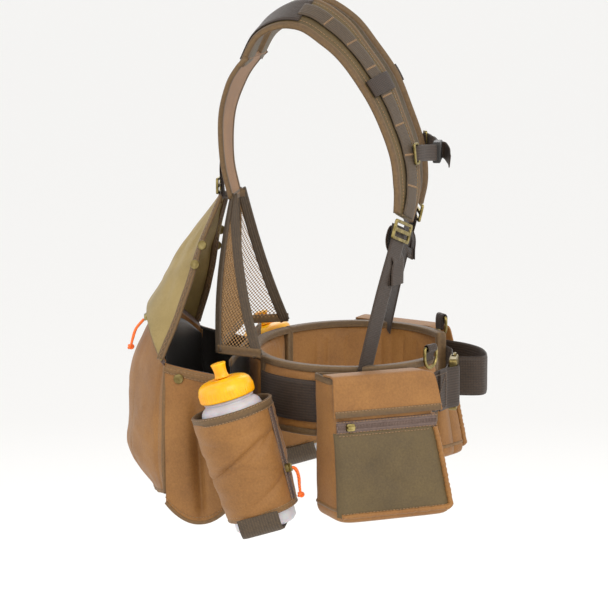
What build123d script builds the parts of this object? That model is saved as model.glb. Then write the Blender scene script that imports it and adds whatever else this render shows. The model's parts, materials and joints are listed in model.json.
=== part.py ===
from build123d import *
import math
import os

# Upland strap vest with a rear game bag, two bottle holsters and two hip pouches.
# Frame: +X is the wearer's front, +Y the wearer's left, +Z up, in millimetres.
# The origin is the centre of the waist ring, at half the belt's height.

# ---- driving dimensions -------------------------------------------------------------
FABRIC = 2.5            # wall of a coated fabric panel
GAP = 0.5               # room between neighbouring soft pieces
WEBBING = 2.6           # thickness of heavy webbing

WAIST_X = 12            # centre of the waist oval
WAIST_A = 116           # half of the waist, front to back
WAIST_B = 162           # half of the waist, side to side
BELT_PAD = 12
BELT_HALF_HEIGHT = 42
BELT_WEB_HALF = 25      # 50 mm belt webbing
WING_FRONT_ANGLE = 31
WING_REAR_ANGLE = 141

STRAP_PAD = 9
STRAP_WEB_HALF = 12.5   # 25 mm daisy-chain webbing
LOWER_WEB_HALF = 19     # 38 mm lower webbing

BAG_HALF = 140
BAG_FRONT_X = -122
BAG_SEAM_X = -204
ARCH_TOP_X = -240
ARCH_TOP_Z = 88
ARCH_FOOT_Z = 36
ZIP_HALF = 5

BOTTLE_FOOT = (-72, -192, -146)
BOTTLE_TILT = 16.8
BOTTLE_R = 37
BOTTLE_SHOULDER = 138
NECK_R = 27
NECK_TOP = 176
CAP_R = 33
CAP_BOTTOM = 160
CAP_TOP = 183
SPOUT_R = 11
SPOUT_TOP = 203
SPOUT_STROKE = 6
HOLSTER_FOOT = 17
HOLSTER_TOP = 148
HOLSTER_FOOT_R = 39.5
HOLSTER_TOP_R = 46

POUCH_ORIGIN = (55.4, -171.5, 0)
POUCH_TURN = 30
POUCH_TOP = 36
POUCH_BOTTOM = -130
POUCH_REAR = -68
POUCH_FRONT_TOP = 54
POUCH_FRONT_BOTTOM = 83
POUCH_DEPTH_TOP = 24
POUCH_DEPTH_BOTTOM = 46
FLAP_LOW = -8
FLAP_HINGE_Z = 38.5     # height of the folded cloth that the flap turns on

D_RING_ANGLE = 40
D_RING_WIRE = 2.0
D_RING_HALF = 12
D_RING_TOP = 58
D_RING_DROP = 24
RUNNING_FIT = 0.06

BUCKLE_HALF_HEIGHT = 32
PIN_R = 2.0

PARTS = {}


def keep(name, *solids):
    """Store one node, made of one solid or of a few separate ones."""
    PARTS[name] = solids[0] if len(solids) == 1 else Compound(list(solids))


def left(shape):
    """The same piece on the wearer's left side."""
    return mirror(shape, about=Plane.XZ)


def keep_pair(name, shape):
    """Store a right-hand piece and its mirror image as two nodes."""
    keep(name + "_r", shape)
    keep(name + "_l", left(shape))


# ---- general shapes -----------------------------------------------------------------
def belt_point(angle, out, z=0.0):
    """A point on the belt, `out` beyond the pad's inner face, on the right side."""
    turn = math.radians(angle)
    x = WAIST_X + (WAIST_A + out) * math.cos(turn)
    y = -(WAIST_B + out) * math.sin(turn)
    return (x, y, z)


def belt_band(start, end, inner, outer, half_height):
    """A length of belt between two angles and two distances from the pad's inner face."""
    middle = (WAIST_X, 0)
    sweep_angle = end - start
    first = EllipticalCenterArc(middle, WAIST_A + inner, WAIST_B + inner, -end,
                                arc_size=sweep_angle)
    second = EllipticalCenterArc(middle, WAIST_A + outer, WAIST_B + outer, -end,
                                 arc_size=sweep_angle)
    ends = [Line(first @ 0, second @ 0), Line(first @ 1, second @ 1)]
    face = make_face([first, second] + ends)
    return extrude(Pos(0, 0, -half_height) * face, 2 * half_height)


def ribbon(edges, thickness, lift=0.0):
    """A flat band through pairs of edge points, `lift` off its centre surface."""
    pairs = [(Vector(*a), Vector(*b)) for a, b in edges]
    middles = [(a + b) * 0.5 for a, b in pairs]
    faces = []
    for i, (a, b) in enumerate(pairs):
        along = middles[min(i + 1, len(pairs) - 1)] - middles[max(i - 1, 0)]
        normal = along.cross(b - a).normalized()
        low = normal * (lift - thickness / 2)
        high = normal * (lift + thickness / 2)
        faces.append(make_face(Polyline(a + low, b + low, b + high, a + high, close=True)))
    return loft(faces, ruled=True)


def centred_ribbon(points, across, half_width, thickness, lift=0.0):
    """A flat band of even width along centre points, its width along `across`."""
    side = Vector(*across).normalized() * half_width
    edges = [(Vector(*p) - side, Vector(*p) + side) for p in points]
    return ribbon([(tuple(a), tuple(b)) for a, b in edges], thickness, lift)


def arc_shell(stations, thickness):
    """A curved panel through arcs, each from a right edge point over a middle point."""
    faces = []
    for edge, middle in stations:
        right = Vector(*edge)
        over = Vector(*middle)
        other = Vector(right.X, -right.Y, right.Z)
        chord_mid = Vector(right.X, 0, right.Z)
        inward = (chord_mid - over).normalized() * thickness
        outer = ThreePointArc(right, over, other)
        inner = ThreePointArc(right + inward, over + inward, other + inward)
        ends = [Line(outer @ 0, inner @ 0), Line(outer @ 1, inner @ 1)]
        faces.append(make_face([outer, inner] + ends))
    return loft(faces, ruled=True)


# ---- waist belt ---------------------------------------------------------------------
WEB_IN = BELT_PAD + 0.3
WEB_OUT = WEB_IN + WEBBING
FRONT_TURN = 22         # angle at which the webbing leaves the oval for the buckle

keep("lumbar_pad", belt_band(WING_REAR_ANGLE + 1, 360 - WING_REAR_ANGLE - 1, 0,
                             BELT_PAD, BELT_HALF_HEIGHT))
keep_pair("belt_wing", belt_band(WING_FRONT_ANGLE, WING_REAR_ANGLE, 0, BELT_PAD,
                                 BELT_HALF_HEIGHT))

# The buckle lies in one plane across the front of the belt.
BUCKLE_X = WAIST_X + WAIST_A + WEB_IN - 6       # back face of the buckle frame
FRAME_THICK = 10
FRAME_Y0 = -50
FRAME_Y1 = -8
BAR_WIDTH = 4.5
PLATE_X = BUCKLE_X + 2.5
PLATE_THICK = 2.2
CLIP_X = PLATE_X + PLATE_THICK + 0.3
CLIP_THICK = 2.4
PIVOT_Y = 4.0
PIVOT_Z = 20.0
EDGE_BREAK = 1.2        # chamfer round the frame's outer faces


def block(x0, x1, y0, y1, z0, z1):
    """A box between two corners."""
    size = Box(x1 - x0, y1 - y0, z1 - z0)
    return Pos((x0 + x1) / 2, (y0 + y1) / 2, (z0 + z1) / 2) * size


def buckle_frame():
    """Female frame: webbing bar, blind mouth for the plate and two clip windows."""
    top = BUCKLE_HALF_HEIGHT
    mouth = BELT_WEB_HALF
    body = block(BUCKLE_X, BUCKLE_X + FRAME_THICK, FRAME_Y0, FRAME_Y1, -top, top)
    body = fillet(body.edges().filter_by(Axis.X), 4)
    body = chamfer(body.faces().filter_by(Axis.X).edges(), EDGE_BREAK)
    slot = block(BUCKLE_X - 1, BUCKLE_X + FRAME_THICK + 1, FRAME_Y0 + BAR_WIDTH,
                 FRAME_Y0 + BAR_WIDTH + 7, -mouth - 1.5, mouth + 1.5)
    inside = block(PLATE_X - 0.6, CLIP_X + CLIP_THICK + 0.6, FRAME_Y1 - 28, FRAME_Y1 + 1,
                   -mouth, mouth)
    window = block(PLATE_X - 0.6, CLIP_X + CLIP_THICK + 0.6, FRAME_Y1 - 20, FRAME_Y1 - 0.6,
                   -top - 1, top + 1)
    return body - slot - inside - window


def buckle_plate():
    """Male plate: a tongue inside the frame and a slotted base for the left webbing."""
    tongue = block(PLATE_X, PLATE_X + PLATE_THICK, -34, 1, -15, 15)
    tongue = chamfer(tongue.edges().filter_by(Axis.X).sort_by(Axis.Y)[:2], 4)
    base = block(PLATE_X, PLATE_X + PLATE_THICK, -1, 18, -29, 29)
    base = fillet(base.edges().filter_by(Axis.X), 3)
    slot = block(PLATE_X - 1, PLATE_X + PLATE_THICK + 1, 8.6, 15, -26.5, 26.5)
    return tongue + base - slot


def release_clip():
    """Upper release clip: a hub on its rivet, an arm and an ear above the frame."""
    hub = Pos(PIVOT_Y, PIVOT_Z) * Circle(4.6)
    arm = Pos((PIVOT_Y - 22) / 2, PIVOT_Z) * Rectangle(PIVOT_Y + 22, 5)
    ear = Pos(-17, PIVOT_Z + 7) * RectangleRounded(10, 15, 2)
    flat = (hub + arm + ear) - Pos(PIVOT_Y, PIVOT_Z) * Circle(PIN_R + RUNNING_FIT)
    stand = Plane(origin=(CLIP_X, 0, 0), x_dir=(0, 1, 0), z_dir=(1, 0, 0))
    return extrude(stand * flat, CLIP_THICK)


def rivet(z):
    """A rivet that carries a release clip, standing on the plate."""
    stand = Plane(origin=(PLATE_X + PLATE_THICK, PIVOT_Y, z), z_dir=(1, 0, 0))
    shank = stand * Cylinder(PIN_R, CLIP_THICK + 0.6, align=(Align.CENTER, Align.CENTER, Align.MIN))
    top = Plane(origin=(CLIP_X + CLIP_THICK + 0.3, PIVOT_Y, z), z_dir=(1, 0, 0))
    head = top * Cylinder(3.4, 1.2, align=(Align.CENTER, Align.CENTER, Align.MIN))
    return shank + head


keep("buckle_frame", buckle_frame())
keep("buckle_plate", buckle_plate())
clip = release_clip()
keep("buckle_clip_top", clip)
keep("buckle_clip_bottom", mirror(clip, about=Plane.XY))
keep("buckle_rivets", rivet(PIVOT_Z), rivet(-PIVOT_Z))


def belt_webbing_right():
    """Webbing on the right wing, ending in a loop round the frame's bar."""
    on_pad = belt_band(FRONT_TURN, WING_REAR_ANGLE, WEB_IN, WEB_OUT, BELT_WEB_HALF)
    start = belt_point(FRONT_TURN, (WEB_IN + WEB_OUT) / 2)
    back = BUCKLE_X - 0.4 - WEBBING / 2
    front = BUCKLE_X + FRAME_THICK + 0.4 + WEBBING / 2
    y_out = FRAME_Y0 + BAR_WIDTH + 0.4 + WEBBING / 2
    path = [start, (back, FRAME_Y0 - 2, 0), (back, y_out, 0), (front, y_out, 0),
            (front, FRAME_Y0 - 2, 0), (start[0] + 3.4, start[1] + 4, 0)]
    loop = centred_ribbon(path, (0, 0, 1), BELT_WEB_HALF, WEBBING)
    return on_pad + loop


def belt_webbing_left():
    """Webbing on the left wing, through the plate's slot, with its long loose tail."""
    on_pad = left(belt_band(FRONT_TURN, WING_REAR_ANGLE, WEB_IN, WEB_OUT, BELT_WEB_HALF))
    start = belt_point(-FRONT_TURN, (WEB_IN + WEB_OUT) / 2)
    behind = [start, (PLATE_X - 2, 24, 0), (PLATE_X - 2, 11.8, 0), (BUCKLE_X + 12, 11.8, 0),
              (170, 16, 0), (176, 40, 0), (166, 80, 0), (146, 112, 0), (118, 135, 0)]
    return on_pad + centred_ribbon(behind, (0, 0, 1), BELT_WEB_HALF - 0.4, WEBBING)


keep("belt_webbing_r", belt_webbing_right())
keep("belt_webbing_l", belt_webbing_left())

# ---- shoulder straps, yoke and mesh -------------------------------------------------
# Outer and inner edge of the right strap, from the yoke over the shoulder to the chest.
STRAP_EDGES = [
    ((-116, -88, 392), (-112, -26, 398)),
    ((-98, -93, 424), (-90, -34, 440)),
    ((-70, -98, 438), (-60, -43, 463)),
    ((-40, -105, 436), (-32, -51, 468)),
    ((-10, -111, 416), (0, -57, 450)),
    ((16, -116, 391), (26, -61, 421)),
    ((40, -120, 355), (56, -63, 380)),
    ((58, -122, 318), (76, -64, 334)),
    ((70, -124, 282), (92, -67, 288)),
    ((74, -131, 248), (96, -75, 248)),
    ((74, -134, 216), (90, -96, 214)),
]


def inset_edges(edges, half_width):
    """Edges of a narrower band along the middle of a strap."""
    result = []
    for a, b in edges:
        middle = (Vector(*a) + Vector(*b)) * 0.5
        side = (Vector(*b) - Vector(*a)).normalized() * half_width
        result.append((tuple(middle - side), tuple(middle + side)))
    return result


def between(low, high, share):
    """A point part of the way between two others."""
    return tuple(a + (b - a) * share for a, b in zip(low, high))


strap = ribbon(STRAP_EDGES, STRAP_PAD)
keep_pair("shoulder_strap", strap)

daisy_lift = STRAP_PAD / 2 + 0.6 + WEBBING / 2
daisy = ribbon(inset_edges(STRAP_EDGES[1:], STRAP_WEB_HALF), WEBBING, daisy_lift)
keep("daisy_webbings", daisy, left(daisy))

keeper_edges = [(between(STRAP_EDGES[5][0], STRAP_EDGES[6][0], s),
                 between(STRAP_EDGES[5][1], STRAP_EDGES[6][1], s)) for s in (0.1, 0.75)]
keeper = ribbon(keeper_edges, 1.5, daisy_lift + WEBBING / 2 + 2.2)
keep("strap_keepers", keeper, left(keeper))

keep("yoke_panel", ribbon([((-137, -38, 232), (-137, 38, 232)),
                           ((-146, -42, 270), (-146, 42, 270)),
                           ((-146, -56, 325), (-146, 56, 325)),
                           ((-134, -78, 366), (-134, 78, 366)),
                           ((-121, -90, 387), (-121, 90, 387))], 5))

MESH_TOP = (-136, -38, 229)
MESH_FOOT = (-129, -BAG_HALF + 4, 46)


def back_mesh():
    """Mesh panel between the yoke and the bag's front, wider towards the belt."""
    edges = []
    for share, spread in ((0, 0), (0.35, -7), (0.7, -9), (1, 0)):
        point = between(MESH_TOP, MESH_FOOT, share)
        near = (point[0], point[1] - spread, point[2])
        edges.append((near, (near[0], -near[1], near[2])))
    return ribbon(edges, 3)


keep("back_mesh", back_mesh())

# The lower webbing runs from the ladder lock to the belt; its tail hangs in front.
LOCK_MIDDLE = Vector(79, -124, 199)
LOWER_FOOT = Vector(42, -159, 45)
lower_run = LOWER_FOOT - LOCK_MIDDLE
ACROSS_STRAP = Vector(*STRAP_EDGES[-1][1]) - Vector(*STRAP_EDGES[-1][0])
LOWER_ACROSS = ACROSS_STRAP - lower_run * (ACROSS_STRAP.dot(lower_run) / lower_run.dot(lower_run))
lower_start = LOCK_MIDDLE + lower_run * 0.05
lower = centred_ribbon([tuple(lower_start), tuple(lower_start + (LOWER_FOOT - lower_start) * 0.5),
                        tuple(LOWER_FOOT)], tuple(LOWER_ACROSS), LOWER_WEB_HALF, 2.0)
lock_normal = LOWER_ACROSS.cross(lower_run).normalized()
if lock_normal.X < 0:
    lock_normal = lock_normal * -1
tail_top = LOCK_MIDDLE + lock_normal * 6
tail = centred_ribbon([tuple(tail_top + lower_run * 0.05), tuple(tail_top + Vector(3, 3, -34)),
                       tuple(tail_top + Vector(2, 3, -66))], tuple(LOWER_ACROSS),
                      LOWER_WEB_HALF - 2, 3.2)
keep("lower_webbings", lower, left(lower))
keep("webbing_tails", tail, left(tail))


WIRE_EDGE = 0.8         # rounding of the cast brass fittings


def ladder_lock(middle, across, down, half_width, height):
    """A flat metal ladder lock with two webbing slots."""
    face = Plane(origin=middle, x_dir=across, z_dir=across.cross(down))
    window = RectangleRounded(2 * half_width, height * 0.24, 1.5)
    body = RectangleRounded(2 * half_width + 8, height, 3)
    body = body - Pos(0, height * 0.22) * window - Pos(0, -height * 0.22) * window
    plate = extrude(face * body, 1.6, both=True)
    return fillet(plate.edges(), WIRE_EDGE)


lock = ladder_lock(LOCK_MIDDLE + lock_normal * 2.6, LOWER_ACROSS, lower_run * -1,
                   LOWER_WEB_HALF, 24)
keep("ladder_locks", lock, left(lock))

# ---- sternum strap ------------------------------------------------------------------
RING_PLACE = Plane(origin=(95.5, -88, 288), x_dir=(0.3, 0.95, 0), z_dir=(0.95, -0.3, 0.1))
ring_flat = RectangleRounded(14, 26, 3) - RectangleRounded(7, 21, 1.5)
ring = fillet(extrude(RING_PLACE * ring_flat, 1.4, both=True).edges(), WIRE_EDGE)
keep("sternum_rings", ring, left(ring))
STERNUM_HALF = 10
STERNUM_X = 116
chest = [(98.5, -80, 288), (108, -52, 286), (STERNUM_X, -33.6, 284)]
sternum_web = centred_ribbon(chest, (0, 0, 1), STERNUM_HALF, 2)
chest_left = [(98.5, 80, 288), (109, 52, 286), (STERNUM_X, 18.6, 284)]
sternum_left = centred_ribbon(chest_left, (0, 0, 1), STERNUM_HALF, 2)
sternum_tail = centred_ribbon([(STERNUM_X + 6.5, 14, 284), (STERNUM_X + 12, 6, 279),
                               (STERNUM_X + 15, -8, 272)], (0, 0.1, 1), STERNUM_HALF, 2.4)
keep("sternum_webbings", sternum_web, sternum_left, sternum_tail)


def sternum_socket():
    """Hollow half of the chest buckle, open towards the wearer's left."""
    x = STERNUM_X
    body = block(x - 4.5, x + 4.5, -33, -9, 271, 297)
    body = fillet(body.edges().filter_by(Axis.X).sort_by(Axis.Y)[:2], 4)
    body = chamfer(body.faces().filter_by(Axis.X).edges(), 0.8)
    return body - block(x - 2.6, x + 2.6, -27, -8, 274, 294)


def sternum_plug():
    """Prong half of the chest buckle, with its base outside the socket."""
    x = STERNUM_X
    base = block(x - 4.5, x + 4.5, -8.5, 18, 272, 296)
    base = fillet(base.edges().filter_by(Axis.X).sort_by(Axis.Y)[-2:], 4)
    base = chamfer(base.faces().filter_by(Axis.X).edges(), 0.8)
    slot = block(x - 5, x + 5, 8, 12, 274, 294)
    prongs = [block(x - 2.2, x + 2.2, -25, -8, z - 2.5, z + 2.5) for z in (278, 284, 290)]
    return base - slot + prongs[0] + prongs[1] + prongs[2]


keep("sternum_socket", sternum_socket())
keep("sternum_plug", sternum_plug())

# ---- game bag -----------------------------------------------------------------------
# The zip arch is a circle's arc in one tilted plane, so its slider turns about one axis.
arch_lean = math.hypot(ARCH_TOP_X - BAG_SEAM_X, ARCH_TOP_Z - ARCH_FOOT_Z)
ARCH_R = (BAG_HALF ** 2 + arch_lean ** 2) / (2 * arch_lean)
ARCH_UP = Vector(ARCH_TOP_X - BAG_SEAM_X, 0, ARCH_TOP_Z - ARCH_FOOT_Z).normalized()
ARCH_TOP = Vector(ARCH_TOP_X, 0, ARCH_TOP_Z)
ARCH_CENTRE = ARCH_TOP - ARCH_UP * ARCH_R
ARCH_AXIS = Vector(0, 1, 0).cross(ARCH_UP)
ARCH_SPAN = math.degrees(math.asin(BAG_HALF / ARCH_R))


def arch_station(offset, share=1.0):
    """Edge and middle point of an arc beside the zip, `offset` beyond its middle."""
    radius = ARCH_R + offset
    turn = math.radians(ARCH_SPAN * share)
    edge = ARCH_CENTRE + ARCH_UP * (radius * math.cos(turn)) - Vector(0, radius * math.sin(turn), 0)
    middle = ARCH_CENTRE + ARCH_UP * radius
    return tuple(edge), tuple(middle)


arch_plane = Plane(origin=tuple(ARCH_CENTRE), x_dir=(0, 1, 0), z_dir=tuple(ARCH_AXIS))
zip_ring = Circle(ARCH_R + ZIP_HALF) - Circle(ARCH_R - ZIP_HALF)
zip_arms = [Line((0, 0), (3 * ARCH_R * math.sin(a), 3 * ARCH_R * math.cos(a)))
            for a in (-math.radians(ARCH_SPAN), math.radians(ARCH_SPAN))]
wedge = make_face([zip_arms[0], Line(zip_arms[0] @ 1, zip_arms[1] @ 1), zip_arms[1]])
up_sign = 1 if (arch_plane.y_dir.dot(ARCH_UP)) > 0 else -1
tape_flat = zip_ring & (wedge if up_sign > 0 else mirror(wedge, about=Plane.XZ))
keep("rear_zip_tape", extrude(arch_plane * tape_flat, 1.0, both=True))

flap_top = ((-150, -32, 226), (-154, 0, 227))
flap_high = ((-168, -74, 166), (-196, 0, 168))
flap_low = ((-184, -112, 104), (-222, 0, 128))
keep("upper_flap", arc_shell([flap_top, flap_high, flap_low, arch_station(ZIP_HALF + GAP + FABRIC)], FABRIC))

pocket_top = arch_station(-ZIP_HALF - GAP)
POCKET_STATIONS = [
    ((BAG_SEAM_X, -BAG_HALF + 1, 0), (-262, 0, 20)),
    ((BAG_SEAM_X - 1, -BAG_HALF + 1, -45), (-272, 0, -45)),
    ((BAG_SEAM_X - 2, -BAG_HALF + 3, -90), (-268, 0, -95)),
    ((BAG_SEAM_X - 2, -BAG_HALF + 8, -122), (-238, 0, -136)),
]
keep("rear_pocket", arc_shell([pocket_top] + POCKET_STATIONS, FABRIC))

inner_top = ((BAG_SEAM_X + 4, -BAG_HALF + 4, 26), (ARCH_TOP_X + 20, 0, 66))
keep("bag_rear", arc_shell([
    inner_top,
    ((BAG_SEAM_X + 4, -BAG_HALF + 4, -45), (-228, 0, -45)),
    ((BAG_SEAM_X + 4, -BAG_HALF + 6, -118), (-214, 0, -118))], FABRIC))

keep("bag_front", block(BAG_FRONT_X - FABRIC, BAG_FRONT_X, -BAG_HALF + 4, BAG_HALF - 4, -150, 42))

SIDE_REAR_X = BAG_SEAM_X + 7
SIDE_OUTLINE = [(SIDE_REAR_X, 36), (-146, 24), (BAG_FRONT_X, 20), (BAG_FRONT_X, -150),
                (-150, -160), (-186, -156), (SIDE_REAR_X, -128)]
side_plane = Plane(origin=(0, -BAG_HALF + 3, 0), x_dir=(1, 0, 0), z_dir=(0, -1, 0))
side = extrude(side_plane * make_face(Polyline(*SIDE_OUTLINE, close=True)), FABRIC)
keep_pair("bag_side", side)

FLOOR_LINE = [(BAG_SEAM_X + 6, -124), (-184, -151), (-150, -156), (BAG_FRONT_X - 3, -151)]
floor_high = [(x, z + FABRIC) for x, z in reversed(FLOOR_LINE)]
floor_plane = Plane(origin=(0, BAG_HALF - 4, 0), x_dir=(1, 0, 0), z_dir=(0, -1, 0))
floor_face = make_face(Polyline(*(FLOOR_LINE + floor_high), close=True))
keep("bag_floor", extrude(floor_plane * floor_face, 2 * BAG_HALF - 8))

# Strap and ladder lock between the flap's top and the yoke.
flap_strap = centred_ribbon([(-153, 0, 231), (-152, 0, 262), (-149.5, 0, 290)], (0, 1, 0), 12.5, 1.6)
keep("flap_strap", flap_strap)
flap_buckle = ladder_lock(Vector(-156.5, 0, 238), Vector(0, 1, 0), Vector(0, 0, 1), 13, 20)
keep("flap_buckle", flap_buckle)


def snap(place, direction):
    """A snap fastener's cap, standing just off the fabric."""
    stand = Plane(origin=place, z_dir=direction)
    cap = stand * Cylinder(6, 2.2, align=(Align.CENTER, Align.CENTER, Align.MIN))
    return fillet(cap.edges().sort_by(Axis(place, direction))[-1], 0.9)


SNAP_PLACES = [((-186, -BAG_HALF - 0.2, 18), (0, -1, 0)), ((-166, -75.5, 172), (-0.35, -0.9, 0.1)),
               ((-173, -88.5, 150), (-0.35, -0.9, 0.1))]
snaps = [snap(place, direction) for place, direction in SNAP_PLACES]
keep("snaps", *(snaps + [left(s) for s in snaps]))


# ---- zip sliders and their pull cords -----------------------------------------------
def slider():
    """A zip slider lying on its tape, which runs along y, with a bridge for the pull."""
    along = 10.0
    thick = 5.0
    body = Pos(0, 0, thick / 2) * Box(8.5, along, thick)
    body = fillet(body.edges().filter_by(Axis.Z), 2)
    bridge = Pos(0, 0, thick + 1.2) * Box(2.4, along - 1, 2.4)
    return body + bridge


def cord_tube(points, radius):
    """A round cord along straight runs joined by arcs as large as the runs allow."""
    spots = [Vector(*p) for p in points]
    radii = []
    for before, at, after in zip(spots, spots[1:], spots[2:]):
        turn = math.radians((at - before).get_angle(after - at))
        run = min((at - before).length, (after - at).length)
        radii.append(0.45 * run / math.tan(turn / 2))
    path = FilletPolyline(*spots, radius=radii)
    print("cord radii", [round(r, 1) for r in radii], "length", round(path.length, 1))
    start = Plane(origin=path @ 0, z_dir=path % 0)
    return sweep(start * Circle(radius), path=path)


SLIDER_TURN = 17.0      # degrees from the arch's top to where the slider is parked
park_turn = math.radians(SLIDER_TURN)
slider_out = ARCH_UP * math.cos(park_turn) - Vector(0, math.sin(park_turn), 0)
slider_spot = ARCH_CENTRE + slider_out * ARCH_R
# The tape faces rearwards, away from the arch's axis direction.
rear_face = ARCH_AXIS * -1
rear_slider_plane = Plane(origin=tuple(slider_spot + rear_face * 1.4),
                          x_dir=tuple(slider_out), z_dir=tuple(rear_face))
keep("rear_slider", rear_slider_plane * slider())

CORD_R = 1.6
rear_cord_start = slider_spot + rear_face * 9.6
REAR_CORD = [tuple(rear_cord_start), tuple(rear_cord_start + Vector(-6, -1.2, -6)),
             tuple(rear_cord_start + Vector(-11, -3.6, -13.5)),
             tuple(rear_cord_start + Vector(-14, -3, -23.5)),
             tuple(rear_cord_start + Vector(-16, -5.5, -34))]
keep("rear_pull_cord", cord_tube(REAR_CORD, CORD_R))

# ---- bottles and holsters -----------------------------------------------------------
tilt = math.radians(BOTTLE_TILT)
BOTTLE_UP = Vector(-math.sin(tilt), 0, math.cos(tilt))
bottle_plane = Plane(origin=BOTTLE_FOOT, x_dir=(math.cos(tilt), 0, math.sin(tilt)),
                     z_dir=tuple(BOTTLE_UP))


def turned(points):
    """A solid turned about the bottle's axis from its half section, in place."""
    section = make_face(Polyline(*[(r, 0, z) for r, z in points], close=True))
    return bottle_plane * revolve(section, Axis.Z)


WALL = 1.5
bottle = turned([(0, 0), (BOTTLE_R - 4, 0), (BOTTLE_R, 4), (BOTTLE_R, BOTTLE_SHOULDER),
                 (BOTTLE_R - 4, BOTTLE_SHOULDER + 10), (NECK_R, BOTTLE_SHOULDER + 18),
                 (NECK_R, NECK_TOP), (NECK_R - WALL, NECK_TOP),
                 (NECK_R - WALL, BOTTLE_SHOULDER + 17), (BOTTLE_R - 5.5, BOTTLE_SHOULDER + 9),
                 (BOTTLE_R - WALL, BOTTLE_SHOULDER), (BOTTLE_R - WALL, 4 + WALL),
                 (BOTTLE_R - 5, WALL), (0, WALL)])
SPOUT_HOLE = 5.5
cap = turned([(NECK_R + RUNNING_FIT, CAP_BOTTOM), (CAP_R, CAP_BOTTOM), (CAP_R, CAP_TOP - 5),
              (CAP_R - 5, CAP_TOP), (SPOUT_HOLE, CAP_TOP), (SPOUT_HOLE, CAP_TOP - 3),
              (NECK_R + RUNNING_FIT, CAP_TOP - 3)])
stem_r = SPOUT_HOLE - RUNNING_FIT
spout = turned([(0, CAP_TOP - 6), (stem_r, CAP_TOP - 6), (stem_r, CAP_TOP + 0.4),
                (SPOUT_R, CAP_TOP + 0.4), (SPOUT_R, CAP_TOP + 5), (SPOUT_R - 2.5, CAP_TOP + 8),
                (SPOUT_R - 2.5, SPOUT_TOP - 4), (SPOUT_R - 1, SPOUT_TOP - 2),
                (SPOUT_R - 2.5, SPOUT_TOP), (0, SPOUT_TOP)])
keep_pair("bottle", bottle)
keep_pair("bottle_cap", cap)
keep_pair("bottle_spout", spout)

holster = turned([(HOLSTER_FOOT_R, HOLSTER_FOOT), (HOLSTER_FOOT_R + FABRIC, HOLSTER_FOOT),
                  (HOLSTER_TOP_R + FABRIC, HOLSTER_TOP), (HOLSTER_TOP_R, HOLSTER_TOP)])
keep_pair("holster", holster)


def bottle_sling():
    """Webbing stirrup under the bottle, from the holster's outside to the bag's side."""
    low = -1.4
    side_y = HOLSTER_FOOT_R + 0.6
    outline = [(-side_y, HOLSTER_FOOT - GAP), (-side_y, 6), (-side_y + 8, low), (side_y - 8, low),
               (side_y, 6), (side_y, HOLSTER_FOOT - GAP), (side_y + 2, HOLSTER_FOOT - GAP),
               (side_y + 2, 5), (side_y - 7, low - 2), (-side_y + 7, low - 2), (-side_y - 2, 5),
               (-side_y - 2, HOLSTER_FOOT - GAP)]
    face = make_face(Polyline(*[(0, y, z) for y, z in outline], close=True))
    return bottle_plane * (Pos(-25, 0, 0) * extrude(face, 50, dir=(1, 0, 0)))


sling = bottle_sling()
keep("bottle_slings", sling, left(sling))

# The holster's short zip faces forwards and outwards; its slider runs along the axis.
HOLSTER_ZIP_TURN = -14.0
HOLSTER_SLIDER_AT = 62.0
zip_turn = math.radians(HOLSTER_ZIP_TURN)
local_out = Vector(math.cos(zip_turn), math.sin(zip_turn), 0)
holster_out = bottle_plane.x_dir * local_out.X + bottle_plane.y_dir * local_out.Y
slope = (HOLSTER_TOP_R - HOLSTER_FOOT_R) / (HOLSTER_TOP - HOLSTER_FOOT)
HOLSTER_RUN = (BOTTLE_UP + holster_out * slope).normalized()
slider_r = HOLSTER_FOOT_R + slope * (HOLSTER_SLIDER_AT - HOLSTER_FOOT) + FABRIC + 0.8
holster_spot = Vector(*BOTTLE_FOOT) + BOTTLE_UP * HOLSTER_SLIDER_AT + holster_out * slider_r
holster_across = HOLSTER_RUN.cross(holster_out)
holster_slider_plane = Plane(origin=tuple(holster_spot), x_dir=tuple(holster_across),
                             z_dir=tuple(holster_across.cross(HOLSTER_RUN)))
keep_pair("holster_slider", holster_slider_plane * slider())
cord_out = holster_across.cross(HOLSTER_RUN)
cord_start = holster_spot + cord_out * 8.2
HOLSTER_CORD = [tuple(cord_start), tuple(cord_start + cord_out * 5 + Vector(0, 0, -4)),
                tuple(cord_start + cord_out * 7 + Vector(1, -1, -12.5)),
                tuple(cord_start + cord_out * 6.5 + Vector(2, 0.5, -23)),
                tuple(cord_start + cord_out * 6.5 + Vector(4, -1, -34))]
keep_pair("holster_pull", cord_tube(HOLSTER_CORD, CORD_R))

# ---- hip pouches --------------------------------------------------------------------
# Local frame: x forwards along the front face, -y outwards, z up.
pouch_turn = math.radians(POUCH_TURN)
pouch_plane = Plane(origin=POUCH_ORIGIN, x_dir=(math.cos(pouch_turn), math.sin(pouch_turn), 0),
                    z_dir=(0, 0, 1))


def pouch_front_y(z):
    """Local y of the sloping front face at a height."""
    share = (POUCH_TOP - z) / (POUCH_TOP - POUCH_BOTTOM)
    return -(POUCH_DEPTH_TOP + (POUCH_DEPTH_BOTTOM - POUCH_DEPTH_TOP) * share)


def pouch_outline(z, depth, front_end, last_angle, inset):
    """Plan of the pouch at one height: its back follows the belt's curve."""
    points = []
    for i in range(5):
        angle = last_angle + (104 - last_angle) * i / 4
        spot = pouch_plane.to_local_coords(Vector(*belt_point(angle, WEB_OUT + 2.6 + inset)))
        points.append((spot.X - (inset if i == 0 else 0) + (inset if i == 4 else 0), spot.Y, z))
    points.append((POUCH_REAR + inset, depth + inset, z))
    points.append((front_end - inset, depth + inset, z))
    return make_face(Polyline(*points, close=True))


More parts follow.
